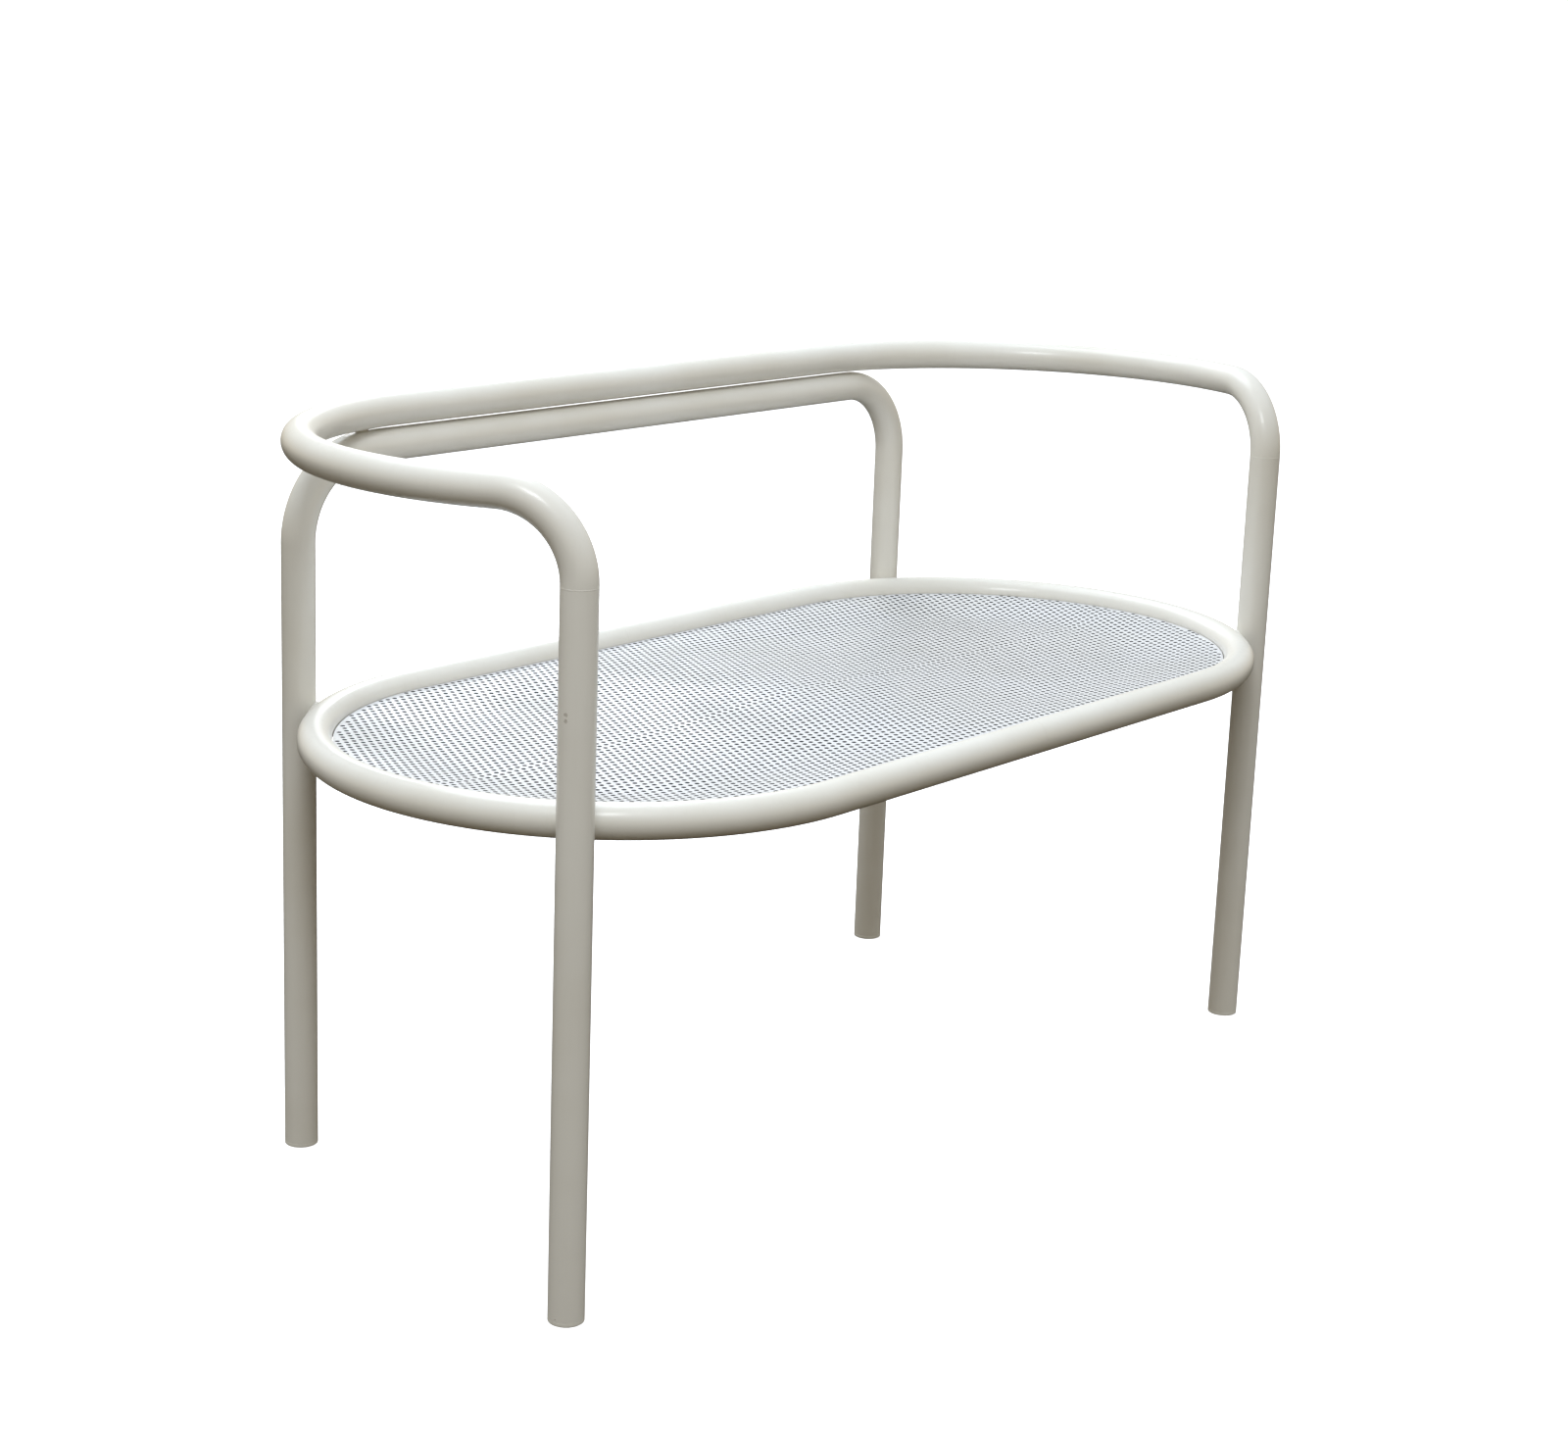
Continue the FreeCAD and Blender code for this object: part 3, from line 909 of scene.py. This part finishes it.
@dataclass(frozen=True)
class Places:
    """Where the main members stand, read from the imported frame."""

    tube_radius: float
    front_leg: Vector
    rear_leg: Vector
    leg_foot: float
    seam_top: float
    ring_height: float
    ring_radius: float
    ring_half: float
    panel_top: float
    panel_bottom: float

    @classmethod
    def read(cls, tube_radius: float) -> "Places":
        """Reads the places.

        Args:
            tube_radius: Outer radius of the tube stock.

        Returns:
            The right-hand legs, the ring and the panel's heights.
        """
        front = middle("foot_front_right")
        rear = middle("foot_rear_right")
        sleeve = middle("ring_sleeve_front")
        contact = abs(sleeve.y) + 2 * tube_radius
        low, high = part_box("seat_panel")
        return cls(
            tube_radius=tube_radius,
            front_leg=Vector((front.x, front.y, 0.0)),
            rear_leg=Vector((rear.x, rear.y, 0.0)),
            leg_foot=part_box("front_right_leg")[0].z,
            seam_top=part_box("leg_seam_weld_right")[1].z,
            ring_height=sleeve.z,
            ring_radius=abs(sleeve.y),
            ring_half=front.x - math.sqrt(contact**2 - front.y**2),
            panel_top=high.z,
            panel_bottom=low.z,
        )


def middle(node: str) -> Vector:
    """The middle of a node's box."""
    low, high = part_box(node)
    return (low + high) / 2


def on_side(point: Vector, side: Side, height: float) -> Vector:
    """A right-hand point moved to one side of the bench and to a height."""
    return Vector((side.value * point.x, point.y, height))


@dataclass
class TubeFrame:
    """The bent and welded tubes: rail with arms, front legs, rear hoop and seat ring."""

    places: Places
    enamel: bpy.types.Material
    wall: float = 0.002
    sides: int = 64
    corner_radius: float = 0.283
    arm_turn_in: float = math.radians(24.8)
    drop_radius: float = 0.077
    hoop_radius: float = 0.087
    rail_gap: float = 0.0016
    seam_gap: float = 0.0012
    tree: TubeTree = field(default_factory=TubeTree)

    @property
    def rail_height(self) -> float:
        """Height of the back rail's middle line."""
        return self.places.seam_top + self.drop_radius

    @property
    def hoop_height(self) -> float:
        """Height of the rear hoop's middle line."""
        return self.rail_height - 2 * self.places.tube_radius - self.rail_gap

    def tube(self, node: str, run: Run) -> bpy.types.Object:
        """A hollow tube with smooth walls along a line.

        Args:
            node: The node that it stands for, and its name.
            run: Its middle line.

        Returns:
            The finished piece.
        """
        made = guide(f"{node}_tube", run.points)
        self.tree.apply(made, self.enamel, Radius=self.places.tube_radius, Sides=self.sides)
        wall = made.modifiers.new("wall", "SOLIDIFY")
        wall.thickness = self.wall
        wall.offset = -1.0
        wall.use_even_offset = True
        bake_down(made)
        smooth(made)
        return dress(made, self.enamel, [node])

    def rail_with_arms(self) -> bpy.types.Object:
        """One tube from the top of one front leg round the back to the other."""
        foot = on_side(self.places.front_leg, Side.LEFT, self.places.seam_top)
        lean = Vector((-math.sin(self.arm_turn_in), math.cos(self.arm_turn_in), 0.0))
        arm_end = foot + lean * self.drop_radius + UP * self.drop_radius
        across = Vector((math.cos(self.arm_turn_in), math.sin(self.arm_turn_in), 0.0))
        corner = arm_end + across * self.corner_radius
        sweep = math.pi / 2 + self.arm_turn_in
        far_corner = Vector((-corner.x, corner.y, corner.z))
        far_end = Vector((-arm_end.x, arm_end.y, arm_end.z))
        far_lean = Vector((-lean.x, lean.y, 0.0))
        run = Run(foot)
        run.arc(foot + lean * self.drop_radius, (-lean).cross(UP), math.pi / 2)
        run.arc(corner, UP, -sweep)
        run.line(Vector((far_corner.x, corner.y + self.corner_radius, corner.z)), steps=8)
        run.arc(far_corner, UP, -sweep)
        run.arc(far_end - UP * self.drop_radius, UP.cross(-far_lean), math.pi / 2)
        return self.tube("back_arm_rail", run)

    def front_leg(self, side: Side) -> bpy.types.Object:
        """One straight front leg."""
        leg = self.places.front_leg
        run = Run(on_side(leg, side, self.places.leg_foot))
        run.line(on_side(leg, side, self.places.seam_top - self.seam_gap), steps=8)
        return self.tube(f"front_{side.word}_leg", run)

    def rear_hoop(self) -> bpy.types.Object:
        """Both rear legs and the rail between them, in one tube."""
        leg = self.places.rear_leg
        shoulder = self.hoop_height - self.hoop_radius
        inward = Vector((self.hoop_radius, 0.0, 0.0))
        run = Run(on_side(leg, Side.LEFT, self.places.leg_foot))
        run.line(on_side(leg, Side.LEFT, shoulder), steps=8)
        run.arc(run.points[-1] + inward, Vector((0.0, 1.0, 0.0)), math.pi / 2)
        run.line(Vector((leg.x - self.hoop_radius, leg.y, self.hoop_height)), steps=8)
        run.arc(on_side(leg, Side.RIGHT, shoulder) - inward, Vector((0.0, 1.0, 0.0)), math.pi / 2)
        run.line(on_side(leg, Side.RIGHT, self.places.leg_foot), steps=8)
        return self.tube("rear_hoop", run)

    def ring_half(self, side: Side) -> bpy.types.Object:
        """One half of the seat ring."""
        p = self.places
        near = side.value * self.seam_gap / 2
        far = side.value * p.ring_half
        run = Run(Vector((near, -p.ring_radius, p.ring_height)))
        run.line(Vector((far, -p.ring_radius, p.ring_height)), steps=5)
        run.arc(Vector((far, 0.0, p.ring_height)), UP, side.value * math.pi)
        run.line(Vector((near, p.ring_radius, p.ring_height)), steps=5)
        return self.tube(f"seat_ring_{side.word}", run)

    def build(self) -> None:
        """Builds every tube."""
        self.rail_with_arms()
        self.rear_hoop()
        for side in Side:
            self.front_leg(side)
            self.ring_half(side)


@dataclass
class SeatPanel:
    """The perforated sheet seat, made as a front and a rear half that meet between two rows of holes."""

    places: Places
    enamel: bpy.types.Material
    pitch: float = 9.25 * MM
    hole_radius: float = 2.5 * MM
    hole_sides: int = 10
    edge_gap: float = 0.8 * MM
    border: float = 0.35 * MM
    sag: float = 8.5 * MM
    rise: float = 0.4 * MM
    ridge_middle: float = -0.022
    ridge_slant: float = -0.087
    ridge_width: float = 0.15
    edge_fade: float = 0.11

    @property
    def row_step(self) -> float:
        """Distance between two rows of holes."""
        return self.pitch * math.sqrt(3) / 2

    @property
    def end_radius(self) -> float:
        """Radius of the sheet's round ends."""
        return self.places.ring_radius - self.places.tube_radius - self.edge_gap

    def crossing(self, y: float) -> list[Vector]:
        """The line across the sheet at one y, from its left edge to its right, a point to each pitch."""
        reach = self.places.ring_half + math.sqrt(max(self.end_radius**2 - y**2, 0.0))
        count = math.ceil(reach / self.pitch) - 1
        inner = [Vector((index * self.pitch, y, 0.0)) for index in range(-count, count + 1)]
        return [Vector((-reach, y, 0.0)), *inner, Vector((reach, y, 0.0))]

    def strips(self, name: str, sign: int) -> bpy.types.Object:
        """The outlines of one half's strips, each between two lines midway between rows of holes.

        Args:
            name: The object's name.
            sign: Which way the half lies along Y.

        Returns:
            The object, whose edges are the closed outlines.
        """
        p = self.places
        points: list[Vector] = []
        edges: list[tuple[int, int]] = []
        count = math.ceil(self.end_radius / self.row_step)
        for index in range(count):
            near = index * self.row_step
            far = min(near + self.row_step, self.end_radius)
            turn = math.asin(far / self.end_radius) - math.asin(near / self.end_radius)
            right = Run(self.crossing(sign * near)[-1], math.radians(1.5))
            right.arc(Vector((p.ring_half, 0.0, 0.0)), UP, sign * turn)
            left = [Vector((-point.x, point.y, 0.0)) for point in right.points[1:-1]]
            loop = self.crossing(sign * near) + right.points[1:-1]
            loop += self.crossing(sign * far)[::-1] + left[::-1]
            base = len(points)
            points += loop
            edges += [(base + i, base + (i + 1) % len(loop)) for i in range(len(loop))]
        return mesh_object(name, [tuple(point) for point in points], edges=edges)

    def half(self, word: str, sign: int, tree: PerforatedTree) -> bpy.types.Object:
        """One half of the sheet.

        Args:
            word: Its name, front or rear.
            sign: Which way it lies along Y.
            tree: The tree that punches it.

        Returns:
            The finished piece.
        """
        p = self.places
        made = self.strips(f"seat_panel_{word}", sign)
        rows = math.floor(self.end_radius / self.row_step)
        tree.apply(
            made,
            self.enamel,
            Pitch=self.pitch,
            Row_Step=self.row_step,
            Hole_Radius=self.hole_radius,
            Hole_Sides=self.hole_sides,
            Columns=2 * math.ceil((p.ring_half + self.end_radius) / self.pitch),
            Rows=rows,
            First_Row=self.row_step / 2 if sign > 0 else -(rows - 0.5) * self.row_step,
            Straight_Half=p.ring_half,
            End_Radius=self.end_radius,
            Border=self.border,
            Height=p.panel_bottom,
            Thickness=p.panel_top - p.panel_bottom,
            Sag=self.sag,
            Rise=self.rise,
            Ridge_Middle=self.ridge_middle,
            Ridge_Slant=self.ridge_slant,
            Ridge_Width=self.ridge_width,
            Edge_Fade=self.edge_fade,
        )
        bake_down(made)
        return dress(made, self.enamel, ["seat_panel"])

    def build(self) -> None:
        """Builds both halves."""
        tree = PerforatedTree()
        self.half("front", -1, tree)
        self.half("rear", 1, tree)


@dataclass
class Welds:
    """The welds: fillets where ring meets legs, seams, the link between the rails on the left and the tacks.
    """

    places: Places
    tubes: TubeFrame
    enamel: bpy.types.Material
    fillet_reach: float = 11.2 * MM
    fillet_sag: float = 2.8 * MM
    fillet_radius: float = 2.9 * MM
    ripple_pitch: float = 2.4 * MM
    seam_radius: float = 1.7 * MM
    seam_rise: float = 0.12 * MM
    link_length: float = 10.0 * MM
    tack_radius: float = 3.3 * MM
    tack_drop: float = 1.6 * MM
    tacks_per_straight: int = 4
    tacks_per_end: int = 5
    bead: BeadTree = field(default_factory=BeadTree)

    def lay(self, node: str, points: Sequence[Vector], closed: bool, radius: float, depth: float) -> None:
        """Lays one bead.

        Args:
            node: The node that it stands for.
            points: Its line.
            closed: Whether the line closes on itself.
            radius: The bead's radius.
            depth: Depth of its ripples as a share of the radius.
        """
        made = guide(f"{node}_bead", points, closed)
        self.bead.apply(
            made, self.enamel, Radius=radius, Ripple_Pitch=self.ripple_pitch, Ripple_Depth=depth, Sides=16
        )
        bake_down(made)
        smooth(made, math.radians(70.0))
        dress(made, self.enamel, [node])

    def fillet(self, place: str, side: Side) -> None:
        """The bead round the spot where the ring touches one leg."""
        p = self.places
        leg = on_side(p.front_leg if place == "front" else p.rear_leg, side, p.ring_height)
        ring_middle = Vector((side.value * p.ring_half, 0.0, p.ring_height))
        outward = (leg - ring_middle).normalized()
        across = outward.cross(UP)
        touch = ring_middle + outward * (p.ring_radius + p.tube_radius)
        points = []
        steps = 48
        for step in range(steps):
            angle = math.tau * step / steps
            rise = self.fillet_reach * math.cos(angle) - self.fillet_sag
            reach = self.fillet_reach * math.sin(angle)
            leg_side = p.tube_radius - math.sqrt(p.tube_radius**2 - reach**2)
            ring_side = p.tube_radius - math.sqrt(p.tube_radius**2 - rise**2)
            points.append(touch + UP * rise + across * reach + outward * (leg_side - ring_side) / 2)
        self.lay(f"weld_{place}_{side.word}", points, True, self.fillet_radius, 0.2)

    def seam(self, node: str, centre: Vector, axis: Vector, start: Vector) -> None:
        """The flush-ground bead round a butt joint.

        Args:
            node: The node that it stands for.
            centre: The joint's middle.
            axis: The tube's direction.
            start: A unit vector square to the axis.
        """
        reach = self.places.tube_radius + self.seam_rise - self.seam_radius
        run = Run(centre + start * reach, math.radians(6.0)).arc(centre, axis, math.tau)
        self.lay(node, run.points[:-1], True, self.seam_radius, 0.05)

    def link(self, side: Side) -> None:
        """The short weld between the back rail and the hoop's rail."""
        t = self.tubes
        x = side.value * (self.places.rear_leg.x - t.hoop_radius + self.link_length / 2)
        height = (t.rail_height + t.hoop_height) / 2
        half = self.link_length / 2
        points = []
        for y_shift in (-1.6 * MM, 1.6 * MM):
            y = self.places.rear_leg.y + y_shift
            line = [Vector((x + offset, y, height)) for offset in (-half, half)]
            points += line if y_shift < 0 else line[::-1]
        self.lay(f"rail_weld_{side.word}", points, True, 2.4 * MM, 0.3)

    def tacks(self) -> None:
        """The tacks that hold the sheet to the ring from below."""
        p = self.places
        reach = p.ring_radius - p.tube_radius - 0.4 * MM
        height = p.panel_bottom - self.tack_drop
        points = []
        for y_sign in (-1, 1):
            for index in range(self.tacks_per_straight):
                share = (index + 0.5) / self.tacks_per_straight
                points.append(Vector(((2 * share - 1) * p.ring_half, y_sign * reach, height)))
        for side in Side:
            for index in range(self.tacks_per_end):
                angle = math.pi * ((index + 0.5) / self.tacks_per_end - 0.5)
                x = side.value * (p.ring_half + reach * math.cos(angle))
                points.append(Vector((x, reach * math.sin(angle), height)))
        made = mesh_object("panel_tack_blobs", [tuple(point) for point in points])
        BlobTree().apply(made, self.enamel, Radius=self.tack_radius)
        bake_down(made)
        smooth(made, math.radians(70.0))
        dress(made, self.enamel, ["panel_tack_welds"])

    def build(self) -> None:
        """Lays all of these welds."""
        p = self.places
        half_gap = self.tubes.seam_gap / 2
        for side in Side:
            for place in ("front", "rear"):
                self.fillet(place, side)
            top = on_side(p.front_leg, side, p.seam_top - half_gap)
            self.seam(f"leg_seam_weld_{side.word}", top, UP, Vector((1.0, 0.0, 0.0)))
        self.link(Side.LEFT)
        for place, sign in (("front", -1), ("rear", 1)):
            joint = Vector((0.0, sign * p.ring_radius, p.ring_height))
            self.seam(f"ring_seam_weld_{place}", joint, Vector((1.0, 0.0, 0.0)), UP)
        self.tacks()


@dataclass
class FootPlugs:
    """Moulded plugs pressed into the ends of the legs."""

    places: Places
    plastic: bpy.types.Material
    wall: float = 2.0 * MM
    clearance: float = 0.1 * MM
    shank: float = 22.0 * MM
    rounding: float = 1.0 * MM
    ribs: int = 12
    segments: int = 72

    def outline(self) -> list[tuple[float, float]]:
        """Half section as radius and height, from the middle of the underside round to the bore."""
        outer = self.places.tube_radius
        shank = outer - self.wall - self.clearance
        core = shank - self.wall
        flange = self.places.leg_foot
        r = self.rounding
        points = [(4.0 * MM, 0.35 * MM), (outer - 4.2 * MM, 0.35 * MM), (outer - 3.8 * MM, 0.0)]
        for step in range(7):
            angle = math.pi / 2 * step / 6
            points.append((outer - r + r * math.sin(angle), r - r * math.cos(angle)))
        points += [(outer, flange - 0.3 * MM), (outer - 0.3 * MM, flange), (shank, flange)]
        points += [(shank, flange + self.shank - r), (shank - r, flange + self.shank)]
        points += [(core - r, flange + self.shank), (core - r, flange)]
        return points

    def plug(self, place: str, side: Side) -> None:
        """One plug, turned from its half section, with ribs on its shank that grip the tube.

        Args:
            place: Front or rear.
            side: Left or right.
        """
        leg = self.places.front_leg if place == "front" else self.places.rear_leg
        base = on_side(leg, side, 0.0)
        outline = self.outline()
        shank_radius = self.places.tube_radius - self.wall - self.clearance
        points = []
        for turn in range(self.segments):
            angle = math.tau * turn / self.segments
            rib = 0.08 * MM if turn % (self.segments // self.ribs) == 0 else -0.25 * MM
            for radius, height in outline:
                on_shank = abs(radius - shank_radius) < 0.01 * MM and height > self.places.leg_foot + 0.1 * MM
                reach = radius + (rib if on_shank else 0.0)
                around = Vector((reach * math.cos(angle), reach * math.sin(angle), height))
                points.append(tuple(base + around))
        count = len(outline)
        faces = []
        for turn in range(self.segments):
            here, there = turn * count, (turn + 1) % self.segments * count
            faces += [(here + i, there + i, there + i + 1, here + i + 1) for i in range(count - 1)]
        faces.append(tuple(turn * count for turn in reversed(range(self.segments))))
        faces.append(tuple(turn * count + count - 1 for turn in range(self.segments)))
        made = mesh_object(f"foot_plug_{place}_{side.word}", points, faces=faces)
        smooth(made)
        dress(made, self.plastic, [f"foot_{place}_{side.word}"])

    def build(self) -> None:
        """Makes all four plugs."""
        for place in ("front", "rear"):
            for side in Side:
                self.plug(place, side)


@dataclass(frozen=True)
class Lamp:
    """One soft square area light: where it hangs, what it looks at, its width, watts and colour."""

    name: str
    place: Colour
    target: Colour
    size: float
    power: float
    colour: Colour


LAMPS = (
    Lamp("key", (0.3, 1.2, 3.4), (0.0, 0.0, 0.4), 1.9, 40.0, (0.84, 0.91, 1.0)),
    Lamp("window", (-1.6, -1.0, 2.6), (-0.2, 0.0, 0.5), 0.7, 18.0, (0.93, 0.96, 1.0)),
    Lamp("side", (1.7, 2.2, 2.3), (0.3, 0.2, 0.6), 1.3, 30.0, (0.93, 0.96, 1.0)),
)


@dataclass
class Studio:
    """Camera, lights, sky and floor."""

    camera_place: Vector = Vector((-2.1889, -1.77076, 1.14728))
    azimuth: float = math.radians(49.5613)
    dip: float = math.radians(13.591)
    roll: float = math.radians(-1.920)
    lens: float = 62.999
    shift: tuple[float, float] = (0.02454, -0.02619)
    sky: Colour = (0.86, 0.93, 1.0)
    level: Colour = (0.69, 0.59, 0.425)
    ground: Colour = (0.050, 0.038, 0.022)
    floor_colour: Colour = (0.86, 0.86, 0.85)
    floor_glow: Colour = (1.0, 1.0, 1.0)

    def camera(self) -> None:
        """Makes the scene's camera."""
        az, el, roll = self.azimuth, self.dip, self.roll
        forward = Vector((math.sin(az) * math.cos(el), math.cos(az) * math.cos(el), -math.sin(el)))
        right = forward.cross(UP).normalized()
        down = forward.cross(right)
        turned_right = right * math.cos(roll) + down * math.sin(roll)
        turned_down = down * math.cos(roll) - right * math.sin(roll)
        data = bpy.data.cameras.new("camera")
        data.lens = self.lens
        data.sensor_width = 36.0
        data.shift_x, data.shift_y = self.shift
        camera = bpy.data.objects.new("camera", data)
        axes = Matrix((turned_right, -turned_down, -forward)).transposed()
        camera.matrix_world = Matrix.Translation(self.camera_place) @ axes.to_4x4()
        bpy.context.scene.collection.objects.link(camera)
        bpy.context.scene.camera = camera

    def hang(self, lamp: Lamp) -> None:
        """Hangs one lamp."""
        data = bpy.data.lights.new(lamp.name, "AREA")
        data.size = lamp.size
        data.energy = lamp.power
        data.color = lamp.colour
        made = bpy.data.objects.new(lamp.name, data)
        made.location = lamp.place
        aim = Vector(lamp.target) - Vector(lamp.place)
        made.rotation_euler = aim.to_track_quat("-Z", "Y").to_euler()
        bpy.context.scene.collection.objects.link(made)

    def world(self) -> None:
        """A pale sky over dimmer ground, as a big room gives."""
        world = bpy.data.worlds.new("room")
        bpy.context.scene.world = world
        world.use_nodes = True
        tree = Tree(world.node_tree)
        world.node_tree.nodes.clear()
        ray = tree.node("ShaderNodeTexCoord").outputs["Generated"]
        height = tree.number(tree.node("ShaderNodeSeparateXYZ", sockets={"Vector": ray}), "Z")
        stops = [(0.0, self.ground), (0.40, self.ground), (0.5, self.level), (0.8, self.sky)]
        ramp = tree.node("ShaderNodeValToRGB", {"stops": stops}, {"Fac": height * 0.5 + 0.5})
        shader = tree.node("ShaderNodeBackground", sockets={"Color": ramp.outputs["Color"], "Strength": 1.0})
        tree.node("ShaderNodeOutputWorld", sockets={"Surface": shader.outputs[0]})

    def bowl(self, name: str, rings: Sequence[tuple[float, float]]) -> bpy.types.Object:
        """A shallow round bowl, open above, from the radius and height of each of its rings."""
        turns = 96
        points = [(0.0, 0.0, 0.0)]
        for radius, height in rings[1:]:
            for turn in range(turns):
                angle = math.tau * turn / turns
                points.append((radius * math.cos(angle), radius * math.sin(angle), height))
        faces: list[tuple[int, ...]] = [(0, 1 + turn, 1 + (turn + 1) % turns) for turn in range(turns)]
        for ring in range(len(rings) - 2):
            base = 1 + ring * turns
            for turn in range(turns):
                after = (turn + 1) % turns
                faces.append((base + turn, base + turns + turn, base + turns + after, base + after))
        made = mesh_object(name, points, faces=faces)
        return smooth(made)

    def floor(self) -> None:
        """A wide plain floor that curves up into a wall far behind the bench."""
        reach, bend, steps = 9.0, 3.0, 12
        rings = [(0.0, 0.0), (reach, 0.0)]
        for step in range(1, steps + 1):
            angle = math.pi / 2 * step / steps
            rings.append((reach + bend * math.sin(angle), bend * (1 - math.cos(angle))))
        rings.append((reach + bend, 9.0))
        floor = self.bowl("floor", rings)
        s = Surface("floor")
        shade = s.noise(0.6, 2.0).ramp(0.3, 0.7)
        colour = s.mix(shade * 0.04, self.floor_colour, self.ground)
        floor.data.materials.append(
            s.finish(
                Base_Color=colour, Roughness=0.85, Emission_Color=self.floor_glow, Emission_Strength=0.75
            )
        )
        floor.visible_diffuse = False
        floor.visible_glossy = False

    def build(self) -> None:
        """Sets up the whole studio."""
        self.camera()
        self.world()
        self.floor()
        for lamp in LAMPS:
            self.hang(lamp)
        bpy.context.scene.view_settings.view_transform = "Standard"


def keep_packed(node: str, finish: bpy.types.Material) -> None:
    """Gives a piece that stays as packed its finish.

    Args:
        node: The node.
        finish: Its material.
    """
    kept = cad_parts[node]
    kept.data.materials.clear()
    kept.data.materials.append(finish)
    LOG.info("%s: kept as packed", node)


def main() -> None:
    """Builds the bench and its studio in order."""
    logging.basicConfig(level=logging.INFO, format="%(name)s: %(message)s")
    places = Places.read(TUBE_RADIUS)
    Studio().build()

    near_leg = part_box("front_left_leg")[0] + Vector((0.0, TUBE_RADIUS * NEAR_LEG_CHIP_TURN, 0.0))
    chips = [
        (Vector((near_leg.x, near_leg.y, height)), NEAR_LEG_CHIP_RADIUS) for height in NEAR_LEG_CHIP_HEIGHTS
    ]
    enamel = Enamel("frame_enamel").material(chips)
    weld_enamel = Enamel("weld_enamel", wave_depth=0.5 * MM, peel_depth=0.1 * MM, roughness=0.42).material()
    tubes = TubeFrame(places, enamel)
    tubes.build()

    panel = SeatPanel(places, enamel)
    panel_enamel = PanelEnamel(
        "panel_enamel", panel.pitch, panel.row_step, panel.hole_radius, places.ring_half * 1.1
    )
    panel.enamel = panel_enamel.material()
    panel.build()

    Welds(places, tubes, weld_enamel).build()
    FootPlugs(places, Plastic("plug_plastic").material()).build()

    steel = DrawnSteel("sleeve_steel").material()
    keep_packed("seat_crossbar", enamel)
    for place in ("front", "rear"):
        keep_packed(f"ring_sleeve_{place}", steel)
        keep_packed(f"crossbar_weld_{place}", weld_enamel)


if __name__ == "__main__":
    main()
